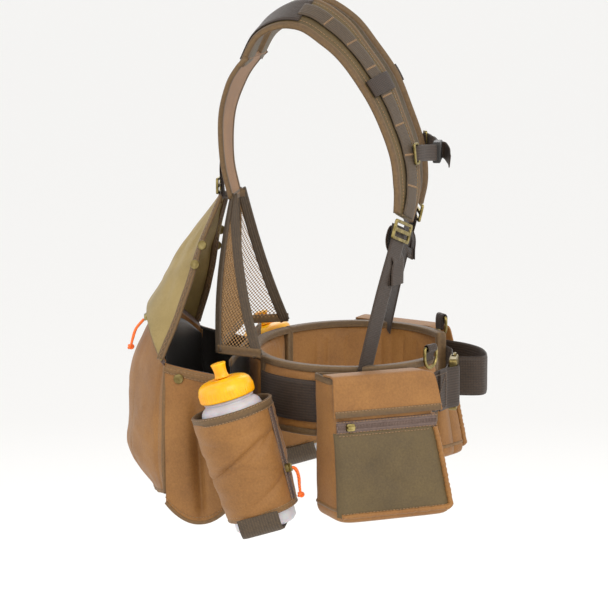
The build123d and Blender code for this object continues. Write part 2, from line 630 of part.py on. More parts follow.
def pouch_block(inset, low, high):
    """Solid between two pouch plans, shrunk by `inset`."""
    bottom = pouch_outline(low, -POUCH_DEPTH_BOTTOM, POUCH_FRONT_BOTTOM, 50, inset)
    top = pouch_outline(high, -POUCH_DEPTH_TOP, POUCH_FRONT_TOP, 60, inset)
    return loft([bottom, top], ruled=True)


pouch = pouch_block(0, POUCH_BOTTOM, POUCH_TOP) - pouch_block(3, POUCH_BOTTOM + 3, POUCH_TOP + 0.01)
keep_pair("hip_pouch", pouch_plane * pouch)


def pouch_flap():
    """Flap over the pouch: a top plate and a sloping front plate, cut back in front."""
    clear = 1.6
    lower_y = pouch_front_y(FLAP_LOW) - clear - 1
    upper_y = pouch_front_y(POUCH_TOP) - clear
    outline = [(-2, POUCH_TOP + 1), (-2, POUCH_TOP + 4), (upper_y - 3, POUCH_TOP + 4),
               (lower_y - 3, FLAP_LOW), (lower_y, FLAP_LOW), (upper_y, POUCH_TOP + 1)]
    face = make_face(Polyline(*[(0, y, z) for y, z in outline], close=True))
    length = POUCH_FRONT_TOP + 18 - POUCH_REAR + 2
    body = Pos(POUCH_REAR - 2, 0, 0) * extrude(face, length, dir=(1, 0, 0))
    reach = POUCH_FRONT_TOP + 18
    corner = [(reach + 1, 0, FLAP_LOW + 4), (reach + 1, 0, POUCH_TOP + 6),
              (POUCH_FRONT_TOP - 2, 0, POUCH_TOP + 6)]
    cutter = Pos(0, 10, 0) * extrude(make_face(Polyline(*corner, close=True)), 90, dir=(0, -1, 0))
    roll = Pos((POUCH_REAR + POUCH_FRONT_TOP) / 2 - 3, -2, FLAP_HINGE_Z) * Rot(0, 90, 0) * Cylinder(
        1.5, POUCH_FRONT_TOP - POUCH_REAR - 2)
    return pouch_plane * (body - cutter + roll)


keep_pair("pouch_flap", pouch_flap())

# The zip's face is parallel to the pouch's sloping front.
ZIP_Z = -19.0
front_slope = math.atan2(POUCH_DEPTH_BOTTOM - POUCH_DEPTH_TOP, POUCH_TOP - POUCH_BOTTOM)
zip_normal = (0, -math.cos(front_slope), math.sin(front_slope))
zip_plane = pouch_plane * Plane(origin=(0, pouch_front_y(ZIP_Z) - 0.4, ZIP_Z),
                                x_dir=(1, 0, 0), z_dir=zip_normal)
ZIP_REAR = POUCH_REAR + 6
ZIP_FRONT = POUCH_FRONT_TOP + 4
tape_box = Pos((ZIP_REAR + ZIP_FRONT) / 2, 0, 0.5) * Box(ZIP_FRONT - ZIP_REAR, 9, 1.0)
tape = zip_plane * tape_box
keep("pouch_zips", tape, left(tape))
PANEL_TOP = -26.0
PANEL_LOW = -122.0
panel_mid_z = (PANEL_TOP + PANEL_LOW) / 2
panel_plane = pouch_plane * Plane(origin=(0, pouch_front_y(panel_mid_z) - 0.4, panel_mid_z),
                                  x_dir=(1, 0, 0), z_dir=zip_normal)
panel_long = (PANEL_TOP - PANEL_LOW) / math.cos(front_slope)
panel_face = Rectangle(POUCH_FRONT_TOP - POUCH_REAR + 10, panel_long)
panel = extrude(panel_plane * (Pos(-2, 0) * panel_face), 1.6)
keep("pouch_pockets", panel, left(panel))

SLIDER_START = ZIP_REAR + 12
keep_pair("pouch_slider", zip_plane * (Pos(SLIDER_START, 0, 1.4) * Rot(0, 0, 90) * slider()))

# ---- accessory D-rings --------------------------------------------------------------
bar_out = WEB_OUT + 4.6
ring_spot = Vector(*belt_point(D_RING_ANGLE, bar_out, D_RING_TOP))
ring_angle = math.radians(D_RING_ANGLE)
ring_along = Vector(WAIST_A * math.sin(ring_angle), WAIST_B * math.cos(ring_angle), 0).normalized()
d_plane = Plane(origin=tuple(ring_spot), x_dir=tuple(ring_along),
                z_dir=tuple(ring_along.cross(Vector(0, 0, 1))))


def d_ring():
    """Bent wire ring: straight bar on top, two legs and a half-round bottom."""
    half = D_RING_HALF
    leg = -D_RING_DROP + half
    straight = half - 3
    bar = Line((-straight, 0, 0), (straight, 0, 0))
    corner_r = RadiusArc((straight, 0, 0), (half, -3, 0), 3)
    right_leg = Line((half, -3, 0), (half, leg, 0))
    bottom = ThreePointArc((half, leg, 0), (0, leg - half, 0), (-half, leg, 0))
    left_leg = Line((-half, leg, 0), (-half, -3, 0))
    corner_l = RadiusArc((-half, -3, 0), (-straight, 0, 0), 3)
    path = Wire([bar, corner_r, right_leg, bottom, left_leg, corner_l])
    start = Plane(origin=(0, 0, 0), z_dir=(1, 0, 0))
    shifted = sweep(start * Circle(D_RING_WIRE), path=path)
    return d_plane * shifted


keep_pair("d_ring", d_ring())


def d_ring_tab():
    """Webbing tab: a leg on the belt's face, folded round the ring's bar."""
    block_solid = Box(14, 9, 8.8)
    leg = Pos(0, -7.8, -4.6) * Box(14, 15.6, 2)
    hole = Rot(0, 90, 0) * Cylinder(D_RING_WIRE + RUNNING_FIT, 30)
    return d_plane * (block_solid + leg - hole)


tab = d_ring_tab()
keep("d_ring_tabs", tab, left(tab))

# ---- write --------------------------------------------------------------------------
os.makedirs("parts", exist_ok=True)
for name, shape in PARTS.items():
    export_step(shape, os.path.join("parts", name + ".step"))
print(len(PARTS), "nodes")
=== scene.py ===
"""Upland strap vest with a rear game bag, two bottle holsters and two hip pouches.

Lengths in the dataclass fields are millimetres, as a cutting sheet gives them, and
MM turns them to metres. +X is the wearer's front, +Y the left and +Z up.
"""
import json
import logging
import math
from dataclasses import dataclass, field
from enum import Enum
from typing import Optional, Sequence

import bmesh
import bpy
import numpy as np
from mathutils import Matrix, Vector

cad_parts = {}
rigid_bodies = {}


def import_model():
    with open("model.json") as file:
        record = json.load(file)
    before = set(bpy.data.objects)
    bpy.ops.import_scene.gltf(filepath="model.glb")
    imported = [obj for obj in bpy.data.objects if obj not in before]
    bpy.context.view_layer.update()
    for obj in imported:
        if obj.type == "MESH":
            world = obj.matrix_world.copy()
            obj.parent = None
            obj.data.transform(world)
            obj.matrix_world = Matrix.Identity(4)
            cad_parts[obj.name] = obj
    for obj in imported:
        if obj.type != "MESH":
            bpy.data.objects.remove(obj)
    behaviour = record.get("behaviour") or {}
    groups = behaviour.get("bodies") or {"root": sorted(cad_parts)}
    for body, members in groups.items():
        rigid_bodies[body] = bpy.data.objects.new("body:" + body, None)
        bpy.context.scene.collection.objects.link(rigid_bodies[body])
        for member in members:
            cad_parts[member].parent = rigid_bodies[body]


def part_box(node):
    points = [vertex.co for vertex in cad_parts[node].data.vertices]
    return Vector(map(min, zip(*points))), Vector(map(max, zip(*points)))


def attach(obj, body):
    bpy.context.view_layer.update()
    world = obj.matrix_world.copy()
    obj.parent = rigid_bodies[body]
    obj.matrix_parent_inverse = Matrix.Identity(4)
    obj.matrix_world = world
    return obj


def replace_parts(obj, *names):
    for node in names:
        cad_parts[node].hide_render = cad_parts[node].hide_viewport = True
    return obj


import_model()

Array = np.ndarray
Piece = bpy.types.Object
Socket = bpy.types.NodeSocket
Tree = bpy.types.NodeTree
LOG = logging.getLogger("vest")
MM = 0.001
ROOT = "harness"
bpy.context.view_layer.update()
MIRROR = np.array([1.0, -1.0, 1.0])


class Side(Enum):
    """The wearer's right or left; a left piece is the right one mirrored."""

    RIGHT = "r"
    LEFT = "l"

    def place(self, points: Array) -> Array:
        """Points of a right-hand piece, moved to this side."""
        return points if self is Side.RIGHT else points * MIRROR

    def aim(self, direction: Sequence) -> Sequence:
        """A right-hand direction, moved to this side; a plain tuple is kept as it is."""
        return direction if isinstance(direction, tuple) else self.place(direction)

    def band(self, name: str, path: Array, side: Sequence, profile: Array,
             finish: str, body: str = ROOT, closed: bool = False) -> Piece:
        """A swept piece on this side, from right-hand values in millimetres."""
        return swept(f"{name}_{self.value}", self.place(path) * MM, self.aim(side), profile * MM,
                     finish, body, closed)

    def seam(self, name: str, path: Array, normal: Sequence, finish: str = "thread",
             **options: object) -> Piece:
        """A row of stitches on this side, from right-hand values in millimetres."""
        return stitches(f"{name}_{self.value}", self.place(path) * MM, self.aim(normal), finish,
                        **options)

    def sheet(self, name: str, points: Array, thickness: float, finish: str,
              body: str = ROOT) -> Piece:
        """A sheet on this side, from right-hand values in millimetres."""
        return sheet_piece(f"{name}_{self.value}", self.place(points) * MM, thickness * MM,
                           finish, body)


# ---- materials -----------------------------------------------------------------------
def linear(code: str) -> tuple[float, float, float, float]:
    """Turns an sRGB hex colour into linear values.

    Args:
        code: Colour as #rrggbb.

    Returns:
        Linear red, green and blue, and an alpha of 1.
    """
    parts = [int(code[i:i + 2], 16) / 255 for i in (1, 3, 5)]
    low = [c / 12.92 if c <= 0.04045 else ((c + 0.055) / 1.055) ** 2.4 for c in parts]
    return (low[0], low[1], low[2], 1.0)


def add_node(tree: Tree, kind: str, settings: Optional[dict] = None,
             inputs: Optional[dict] = None) -> bpy.types.Node:
    """Adds one shader node.

    Args:
        tree: Node tree that gets the node.
        kind: Node type, without the ShaderNode prefix.
        settings: Property names and values.
        inputs: Input names or numbers, each with a value or an output socket.

    Returns:
        The new node.
    """
    node = tree.nodes.new("ShaderNode" + kind)
    for key, value in (settings or {}).items():
        setattr(node, key, value)
    for key, value in (inputs or {}).items():
        socket = node.inputs[key]
        if isinstance(value, Socket):
            tree.links.new(value, socket)
        else:
            socket.default_value = value
    return node


def new_material(name: str) -> tuple[bpy.types.Material, Tree]:
    """Makes an empty node material and returns it with its tree."""
    material = bpy.data.materials.new(name)
    material.use_nodes = True
    material.node_tree.nodes.clear()
    return material, material.node_tree


def finish_surface(tree: Tree, inputs: dict) -> None:
    """Adds the principled shader with its inputs and the material output."""
    shader = add_node(tree, "BsdfPrincipled", inputs=inputs)
    add_node(tree, "OutputMaterial", inputs={"Surface": shader.outputs[0]})


def ramp(tree: Tree, factor: Socket, stops: Sequence[tuple[float, str]]) -> Socket:
    """Adds a colour ramp through hex stops and returns its colour output."""
    node = add_node(tree, "ValToRGB", inputs={"Fac": factor})
    elements = node.color_ramp.elements
    while len(elements) < len(stops):
        elements.new(0.5)
    for element, (place, code) in zip(elements, stops):
        element.position = place
        element.color = linear(code)
    return node.outputs["Color"]


def textured(name: str) -> tuple[bpy.types.Material, Tree, bpy.types.bpy_prop_collection]:
    """Makes an empty material, with its tree and the outputs of its coordinates node."""
    material, tree = new_material(name)
    return material, tree, add_node(tree, "TexCoord").outputs


def wave(tree: Tree, where: Socket, direction: str, period: float,
         shape: Optional[dict] = None) -> Socket:
    """Adds sine bands, one for each `period` millimetres."""
    scale = 2 * math.pi / 20 / (period * MM)
    return add_node(tree, "TexWave", {"bands_direction": direction},
                    {"Vector": where, "Scale": scale, **(shape or {})}).outputs["Fac"]


def noise(tree: Tree, where: Socket, scale: float, detail: float,
          distortion: float = 0.0) -> Socket:
    """Adds a noise texture."""
    return add_node(tree, "TexNoise", inputs={"Vector": where, "Scale": scale, "Detail": detail,
                                              "Distortion": distortion}).outputs["Fac"]


def combine(tree: Tree, operation: str, first: Socket, second: Socket) -> Socket:
    """Adds a math node on two values."""
    return add_node(tree, "Math", {"operation": operation}, {0: first, 1: second}).outputs[0]


def mix(tree: Tree, factor: float, first: Socket, second: Socket) -> Socket:
    """Adds a blend of two values, `factor` being the second one's share."""
    return add_node(tree, "Mix", {"data_type": "FLOAT"},
                    {"Factor": factor, 2: first, 3: second}).outputs[0]


def bump(tree: Tree, strength: float, distance: float, height: Socket) -> Socket:
    """Adds a bump of `distance` metres and returns its normal."""
    return add_node(tree, "Bump", inputs={"Strength": strength, "Distance": distance,
                                          "Height": height}).outputs[0]


@dataclass(frozen=True)
class Cloth:
    """Coated plain-woven nylon: yarns cross in a square grid with a faint slub.

    `yarn` is drawn coarser than in real cloth, so that the weave shows.
    """

    name: str
    light: str
    mid: str
    dark: str
    yarn: float = 1.3
    bump: float = 0.25
    rough: float = 0.62
    sheen: float = 0.08
    on_uv: bool = True

    def make(self) -> bpy.types.Material:
        """Builds the material."""
        material, tree, spot = textured(self.name)
        solid = spot["Object"]
        where = spot["UV" if self.on_uv else "Object"]
        shape = {"Distortion": 0.6, "Detail": 1.0, "Detail Scale": 2.0}
        warp = wave(tree, where, "X", self.yarn, shape)
        weft = wave(tree, where, "Y" if self.on_uv else "Z", self.yarn, shape)
        weave = combine(tree, "MAXIMUM", warp, weft)
        blend = mix(tree, 0.45, noise(tree, solid, 22.0, 4.0), noise(tree, solid, 420.0, 3.0))
        colour = ramp(tree, mix(tree, 0.22, blend, weave),
                      [(0.28, self.dark), (0.5, self.mid), (0.72, self.light)])
        relief = mix(tree, 0.55, weave, noise(tree, solid, 60.0, 3.0, distortion=0.5))
        finish_surface(tree, {"Base Color": colour, "Roughness": self.rough,
                              "Sheen Weight": self.sheen, "Sheen Roughness": 0.45,
                              "Normal": bump(tree, self.bump, 0.0012, relief)})
        return material


@dataclass(frozen=True)
class Webbing:
    """Woven nylon webbing or grosgrain: cross ribs along its length, darker in the grooves."""

    name: str
    light: str
    dark: str
    rib: float = 2.0
    column: float = 3.2
    bump: float = 0.55
    rough: float = 0.6

    def make(self) -> bpy.types.Material:
        """Builds the material; the ribs follow the piece's own UV map."""
        material, tree, spot = textured(self.name)
        ribs = wave(tree, spot["UV"], "X", self.rib,
                    {"Distortion": 0.5, "Detail": 1.0, "Detail Scale": 3.0})
        rows = wave(tree, spot["UV"], "Y", self.column,
                    {"Distortion": 0.3, "Detail": 1.0, "Detail Scale": 3.0})
        both = combine(tree, "MULTIPLY", ribs, rows)
        tone = mix(tree, 0.55, both, noise(tree, spot["Object"], 300.0, 3.0))
        finish_surface(tree, {"Base Color": ramp(tree, tone, [(0.15, self.dark), (0.75, self.light)]),
                              "Roughness": self.rough, "Sheen Weight": 0.06,
                              "Sheen Roughness": 0.5,
                              "Normal": bump(tree, self.bump, 0.0008, both)})
        return material


@dataclass(frozen=True)
class Metal:
    """Satin plated or anodised alloy, faintly mottled and rubbed."""

    name: str
    colour: str
    worn: str
    rough: float = 0.34

    def make(self) -> bpy.types.Material:
        """Builds the material."""
        material, tree, spot = textured(self.name)
        solid = spot["Object"]
        colour = ramp(tree, noise(tree, solid, 160.0, 5.0), [(0.35, self.colour), (0.7, self.worn)])
        fine = noise(tree, solid, 900.0, 2.0)
        rough = add_node(tree, "MapRange", inputs={"Value": fine, "To Min": self.rough - 0.08,
                                                   "To Max": self.rough + 0.12})
        finish_surface(tree, {"Base Color": colour, "Metallic": 1.0,
                              "Roughness": rough.outputs[0],
                              "Normal": bump(tree, 0.12, 0.0003, fine)})
        return material


@dataclass(frozen=True)
class Plastic:
    """Moulded plastic with a fine moulded grain; a little light passes into soft ones."""

    name: str
    colour: str
    deep: str
    rough: float = 0.35
    depth: float = 0.0
    grain: float = 0.08

    def make(self) -> bpy.types.Material:
        """Builds the material."""
        material, tree, spot = textured(self.name)
        solid = spot["Object"]
        colour = ramp(tree, noise(tree, solid, 35.0, 3.0), [(0.3, self.deep), (0.65, self.colour)])
        fine = noise(tree, solid, 1400.0, 2.0)
        finish_surface(tree, {"Base Color": colour, "Roughness": self.rough,
                              "Subsurface Weight": self.depth, "Subsurface Scale": 0.006,
                              "Normal": bump(tree, self.grain, 0.0004, fine)})
        return material


@dataclass(frozen=True)
class Braid:
    """Braided polyester cord or sewing thread: two sets of strands wind across each other."""

    name: str
    light: str
    dark: str
    pitch: float = 1.6

    def make(self) -> bpy.types.Material:
        """Builds the material from object coordinates."""
        material, tree, spot = textured(self.name)
        solid = spot["Object"]
        turned_about = add_node(tree, "Mapping", inputs={
            "Vector": solid, "Rotation": (0.0, math.radians(100), 0.0)}).outputs[0]
        both = combine(tree, "MAXIMUM", wave(tree, solid, "DIAGONAL", self.pitch),
                       wave(tree, turned_about, "DIAGONAL", self.pitch))
        finish_surface(tree, {"Base Color": ramp(tree, both, [(0.2, self.dark), (0.8, self.light)]),
                              "Roughness": 0.6, "Sheen Weight": 0.2,
                              "Normal": bump(tree, 0.5, 0.0004, both)})
        return material


class Palette:
    """The vest's finishes, each made once and fetched by its short name."""

    FINISHES = {
        # Polyurethane-coated nylon: soft satin, slightly lighter where it faces the light.
        "tan": Cloth("Coated nylon canvas, tan", "#9B6C33", "#865A27", "#6B451B"),
        "olive": Cloth("Coated nylon canvas, olive", "#A08A55", "#8C7742", "#705F33"),
        # The same olive canvas, darkened as painted shade for the straps and the pouch pockets.
        "shaded olive": Cloth("Coated nylon canvas, olive in painted shade", "#63522E", "#524224", "#3F331B"),
        "lining": Cloth("Coated nylon lining, black", "#1F1A16", "#130F0C", "#0A0705",
                        rough=0.42, sheen=0.05),
        "pad": Cloth("Coated nylon over foam, tan", "#9B6C33", "#865A27", "#6B451B",
                     on_uv=False),
        # Nylon webbing: matte and ribbed, with a faint sheen across the ribs.
        "webbing": Webbing("Nylon webbing, dark brown", "#3F2C1B", "#20150C"),
        "daisy": Webbing("Nylon webbing, grey brown", "#5A4831", "#372B1D", rib=1.8),
        # Grosgrain: a thin ribbed ribbon folded over raw edges.
        "binding": Webbing("Grosgrain binding, brown", "#785C36", "#4E3A21", rib=1.5,
                           column=9.0, bump=0.4),
        "edge": Webbing("Grosgrain binding, tan", "#8D693B", "#604626", rib=1.5, column=9.0,
                        bump=0.4),
        "net": Webbing("Warp-knit mesh, tan", "#BD9562", "#866238", rib=1.2, column=1.2),
        "ziptape": Webbing("Woven zip tape, brown", "#7A655C", "#4A3A34", rib=1.4),
        "coil": Plastic("Nylon zip coil, brown", "#6A564C", "#453530", rough=0.45),
        # Brass-plated steel and anodised alloy: satin, warm, rubbed lighter in places.
        "brass": Metal("Brass plated steel, satin", "#75673A", "#B0A06A"),
        "bronze": Metal("Anodised alloy, bronze", "#6F6038", "#9A8A5C", rough=0.42),
        "acetal": Plastic("Acetal, moulded black", "#1D1A17", "#0E0C0A", rough=0.48),
        # Low-density polyethylene: milky, with light scattering under the skin.
        "bottle": Plastic("Polyethylene, frosted white", "#CBC6CA", "#B6B0B6", rough=0.4,
                          depth=0.35, grain=0.06),
        "cap": Plastic("Polypropylene, orange yellow", "#FFC000", "#FFA200", rough=0.3,
                       depth=0.15),
        "cord": Braid("Braided cord, orange", "#FF7A1C", "#D9480A"),
        "thread": Braid("Polyester thread, tan", "#97744A", "#66492A", pitch=0.8),
        "dark thread": Braid("Polyester thread, brown", "#6A5138", "#3E2D1E", pitch=0.8),
    }
    made: dict[str, bpy.types.Material] = {}

    @classmethod
    def get(cls, name: str) -> bpy.types.Material:
        """The material with that short name."""
        if name not in cls.made:
            cls.made[name] = cls.FINISHES[name].make()
        return cls.made[name]


# ---- curves and surfaces -------------------------------------------------------------
def unit(vectors: Array) -> Array:
    """Vectors divided by their lengths."""
    return vectors / np.maximum(np.linalg.norm(vectors, axis=-1, keepdims=True), 1e-12)


def around(count: int) -> Array:
    """Angles of `count` equal steps round a circle."""
    return np.linspace(0, 2 * math.pi, count, endpoint=False)


def hump(values: Array, low: float = 0, high: float = 1) -> Array:
    """Half a sine wave over 0 to 1, of values first kept between low and high."""
    return np.sin(math.pi * np.clip(values, low, high))


def xyz(x: Array, y: Array, z: Array) -> Array:
    """Points from their coordinates, each an array or one value for all."""
    return np.stack(np.broadcast_arrays(x, y, z), axis=-1)


def smooth_line(points: Sequence, count: int) -> Array:
    """Cubic through every point, whose slope at each is half its neighbours' difference.

    Args:
        points: Two or more points, or rows of values.
        count: Number of samples, even in the parameter.

    Returns:
        The samples, in an array of count rows.
    """
    knots = np.asarray(points, dtype=float)
    ends = (2 * knots[:1] - knots[1:2], 2 * knots[-1:] - knots[-2:-1])
    padded = np.concatenate([ends[0], knots, ends[1]])
    place = np.linspace(0, len(knots) - 1, count)
    first = np.minimum(place.astype(int), len(knots) - 2)
    t = (place - first).reshape((-1,) + (1,) * (knots.ndim - 1))
    a, b, c, d = (padded[first + i] for i in range(4))
    return 0.5 * (2 * b + (c - a) * t + (2 * a - 5 * b + 4 * c - d) * t ** 2
                  + (3 * b - a - 3 * c + d) * t ** 3)


def lengths(path: Array) -> Array:
    """Distance along a path to each of its points."""
    return np.concatenate([[0.0], np.cumsum(np.linalg.norm(np.diff(path, axis=0), axis=1))])


def evenly(path: Array, pitch: float, *carried: Array) -> list[Array]:
    """Samples of a path, and of values carried along it, spaced about `pitch` apart."""
    run = lengths(path)
    count = max(2, int(round(run[-1] / pitch)) + 1)
    at = np.linspace(0, run[-1], count)
    result = []
    for values in (path,) + carried:
        columns = [np.interp(at, run, values[:, i]) for i in range(values.shape[1])]
        result.append(np.stack(columns, axis=1))
    return result


def surface_normals(points: Array) -> Array:
    """Unit normals of a grid of points: the cross product of its two tangents."""
    return unit(np.cross(np.gradient(points, axis=0), np.gradient(points, axis=1)))


def cloud(rows: int, columns: int, cells: tuple[int, int], seed: int) -> Array:
    """Smooth random hills between -1 and 1: seeded values on a coarse grid, joined by cubics."""
    values = np.random.default_rng(seed).uniform(-1, 1, (cells[0] + 1, cells[1] + 1))
    tall = smooth_line(values, rows)
    return smooth_line(tall.T, columns).T


def add_object(name: str, data: bpy.types.ID) -> Piece:
    """Adds an object with that data to the scene."""
    item = bpy.data.objects.new(name, data)
    bpy.context.scene.collection.objects.link(item)
    return item


def make_object(name: str, points: Array, faces: list, uv: Optional[Array],
                finish: str, body: str = ROOT) -> Piece:
    """Builds a smooth mesh object with outward faces, a material and a body to ride on.

    Args:
        name: Piece name.
        points: Points in metres, one row each.
        faces: Lists of point numbers.
        uv: Two values for each point, in metres along the surface, or None.
        finish: Short name of the finish.
        body: Body that the piece moves with.

    Returns:
        The new object.
    """
    mesh = bpy.data.meshes.new(name)
    mesh.from_pydata(points.tolist(), [], faces)
    if uv is not None:
        layer = mesh.uv_layers.new(name="UVMap")
        corner = np.zeros(len(mesh.loops), dtype=np.int32)
        mesh.loops.foreach_get("vertex_index", corner)
        layer.data.foreach_set("uv", uv[corner].astype(np.float32).ravel())
    edit = bmesh.new()
    edit.from_mesh(mesh)
    bmesh.ops.recalc_face_normals(edit, faces=edit.faces)
    edit.to_mesh(mesh)
    edit.free()
    mesh.shade_smooth()
    piece = add_object(name, mesh)
    mesh.materials.append(Palette.get(finish))
    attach(piece, body)
    return piece


def grid_faces(rows: int, columns: int, closed: bool = False) -> Array:
    """Quads of a grid of points; `closed` joins the last column to the first."""
    span = columns if closed else columns - 1
    i, j = np.meshgrid(np.arange(rows - 1), np.arange(span), indexing="ij")
    k = (j + 1) % columns
    quads = np.stack([i * columns + j, i * columns + k, (i + 1) * columns + k,
                      (i + 1) * columns + j], axis=-1)
    return quads.reshape(-1, 4)


def copies(faces: Array, count: int, step: int) -> list:
    """Faces of `count` equal shapes, each with `step` points."""
    shift = (np.arange(count) * step)[:, None, None]
    return (faces[None] + shift).reshape(-1, faces.shape[1]).tolist()


def surface_uv(points: Array) -> Array:
    """Lengths along the middle row and column of a grid, as its UV map in metres."""
    rows, columns = points.shape[:2]
    u = lengths(points[:, columns // 2])
    v = lengths(points[rows // 2])
    grid = np.stack(np.meshgrid(u, v, indexing="ij"), axis=-1)
    return grid.reshape(-1, 2)


def sheet_piece(name: str, points: Array, thickness: float, finish: str, body: str = ROOT) -> Piece:
    """A closed sheet: the grid moved half its thickness each way along its normals, and rims.

    Args:
        name: Piece name.
        points: Grid of points in metres.
        thickness: Full thickness in metres.
        finish: Short name of the finish.
        body: Body that the piece moves with.

    Returns:
        The new object.
    """
    rows, columns = points.shape[:2]
    shift = surface_normals(points) * (thickness / 2)
    count = rows * columns
    both = np.concatenate([(points + shift).reshape(-1, 3), (points - shift).reshape(-1, 3)])
    top = grid_faces(rows, columns)
    bottom = top[:, ::-1] + count
    index = np.arange(count).reshape(rows, columns)
    rim = np.concatenate([index[0], index[1:, -1], index[-1, -2::-1], index[-2:0:-1, 0]])
    after = np.roll(rim, -1)
    sides = np.stack([rim, rim + count, after + count, after], axis=1)
    uv = surface_uv(points)
    faces = np.concatenate([top, bottom, sides]).tolist()
    return make_object(name, both, faces, np.concatenate([uv, uv]), finish, body)


def superellipse(width: float, height: float, power: float, count: int = 20) -> Array:
    """Closed profile |x/a|^p + |y/b|^p = 1, from an ellipse at p 2 towards a rectangle."""
    turn = around(count)
    x = np.sign(np.cos(turn)) * np.abs(np.cos(turn)) ** (2 / power) * width / 2
    y = np.sign(np.sin(turn)) * np.abs(np.sin(turn)) ** (2 / power) * height / 2
    return np.stack([x, y], axis=1)


def band_profile(width: float, height: float, count: int = 12) -> Array:
    """Closed flat profile with evenly spaced points across and rounded edges."""
    across = np.linspace(-0.5, 0.5, count)
    drop = np.sqrt(np.clip(1 - (np.abs(across) * 2) ** 16, 0.12, 1))
    upper = np.stack([across * width, drop * height / 2], axis=1)
    return np.concatenate([upper[::-1], upper * [1, -1]])


def widened(profile: Array, width: Array) -> Array:
    """One outline for each point of a path: the profile with its x times that width."""
    return profile[None] * np.stack([width, width * 0 + 1], axis=1)[:, None]


def swept(name: str, path: Array, side: Array, profile: Array, finish: str,
          body: str = ROOT, closed: bool = False) -> Piece:
    """A profile carried along a path: its x lies along `side`, its y square to both.

    Args:
        name: Piece name.
        path: Points in metres.
        side: Width direction at each point, or one for all.
        profile: Closed outline in metres, or one outline for each point.
        finish: Short name of the finish.
        body: Body that the piece moves with.
        closed: True joins the path's end to its start.

    Returns:
        The new object.
    """
    if closed:
        along = unit(np.roll(path, -1, axis=0) - np.roll(path, 1, axis=0))
    else:
        along = unit(np.gradient(path, axis=0))
    across = np.broadcast_to(np.asarray(side, dtype=float), path.shape)
    across = unit(across - along * np.sum(across * along, axis=1, keepdims=True))
    up = np.cross(along, across)
    shape = np.broadcast_to(profile, (len(path),) + profile.shape[-2:])
    points = (path[:, None] + across[:, None] * shape[..., :1] + up[:, None] * shape[..., 1:])
    rows, columns = points.shape[:2]
    faces = grid_faces(rows, columns, closed=True).tolist()
    if closed:
        last = grid_faces(2, columns, closed=True)
        last = np.where(last >= columns, last - columns, last + (rows - 1) * columns)
        faces += last.tolist()
    else:
        faces += [list(range(columns))[::-1], list(range((rows - 1) * columns, rows * columns))]
    run = lengths(path)
    round_it = lengths(np.concatenate([shape[0], shape[0][:1]]))[:-1]
    uv = np.stack(np.meshgrid(run, round_it, indexing="ij"), axis=-1).reshape(-1, 2)
    return make_object(name, points.reshape(-1, 3), faces, uv, finish, body)


def turned(name: str, foot: Array, axis: Array, outline: Array, finish: str,
           body: str, sides: int = 72, ribs: Optional[Array] = None) -> Piece:
    """A closed outline of radius and height turned about an axis.

    Args:
        name: Piece name.
        foot: Point on the axis at height 0.
        axis: Unit vector along the axis.
        outline: Rows of radius and height in metres. Ends near the axis are capped, and
            ends away from it are joined to each other.
        finish: Short name of the finish.
        body: Body that the piece moves with.
        sides: Number of steps round the axis.
        ribs: Depth added to each outline point at each step, or None.

    Returns:
        The new object.
    """
    first = unit(np.cross(axis, [0.0, 1.0, 0.0]))
    second = np.cross(axis, first)
    turn = around(sides)
    radius = np.repeat(outline[:, :1], sides, axis=1)
    if ribs is not None:
        radius = radius + ribs
    ring = np.cos(turn)[:, None] * first + np.sin(turn)[:, None] * second
    points = foot + outline[:, 1][:, None, None] * axis + radius[..., None] * ring
    faces = grid_faces(len(outline), sides, closed=True).tolist()
    first_ring = np.arange(sides)
    last_ring = first_ring + (len(outline) - 1) * sides
    if outline[0, 0] > MM:
        faces += np.stack([last_ring, np.roll(last_ring, -1), np.roll(first_ring, -1),
                           first_ring], axis=1).tolist()
    else:
        faces += [first_ring.tolist(), last_ring[::-1].tolist()]
    return make_object(name, points.reshape(-1, 3), faces, None, finish, body)


def capsules(name: str, spots: Array, axes: Sequence, size: tuple[float, float], finish: str,
             body: str) -> Piece:
    """Stitches: a six-sided capsule of four rings at each spot.

    Args:
        name: Piece name.
        spots: Places in metres.
        axes: Directions along, across and away from the cloth at each spot.
        size: Length and radius in millimetres.
        finish: Short name of the finish.
        body: Body that the piece moves with.

    Returns:
        The new object.
    """
    along, across, away = (axis[:, None, None] for axis in axes)
    stations = np.array([-0.5, -0.38, 0.38, 0.5]) * size[0] * MM
    sizes = np.array([0.35, 1.0, 1.0, 0.35]) * size[1] * MM
    turn = around(6)[None, None, :, None]
    ring = across * np.cos(turn) + away * np.sin(turn)
    points = (spots[:, None, None] + along * stations[None, :, None, None]
              + ring * sizes[None, :, None, None])
    ends = np.stack([np.arange(6)[::-1], np.arange(18, 24)])
    faces = copies(grid_faces(4, 6, closed=True), len(spots), 24) + copies(ends, len(spots), 24)
    return make_object(name, points.reshape(-1, 3), faces, None, finish, body)


def stitches(name: str, path: Array, normal: Array, finish: str = "thread",
             pitch: float = 4.2, length: float = 3.0, radius: float = 0.45, zigzag: float = 0.0,
             body: str = ROOT) -> Piece:
    """A row of raised stitches: one six-sided capsule for each pitch along a path.

    Args:
        name: Piece name.
        path: Points on the cloth in metres.
        normal: Direction away from the cloth at each point, or one for all.
        finish: Short name of the thread.
        pitch: Stitch spacing in millimetres.
        length: Stitch length in millimetres.
        radius: Thread radius in millimetres.
        zigzag: Sideways swing of a zigzag seam in millimetres.
        body: Body that the piece moves with.

    Returns:
        The new object.
    """
    away = np.broadcast_to(np.asarray(normal, dtype=float), path.shape)
    spots, away = evenly(path, pitch * MM, path * 0 + away)
    away = unit(away)
    along = unit(np.gradient(spots, axis=0))
    across = unit(np.cross(away, along))
    sign = np.where(np.arange(len(spots)) % 2, 1.0, -1.0)[:, None]
    if zigzag:
        along = unit(along * pitch + across * sign * zigzag)
        across = unit(np.cross(away, along))
    return capsules(name, spots, (along, across, away), (length, radius), finish, body)


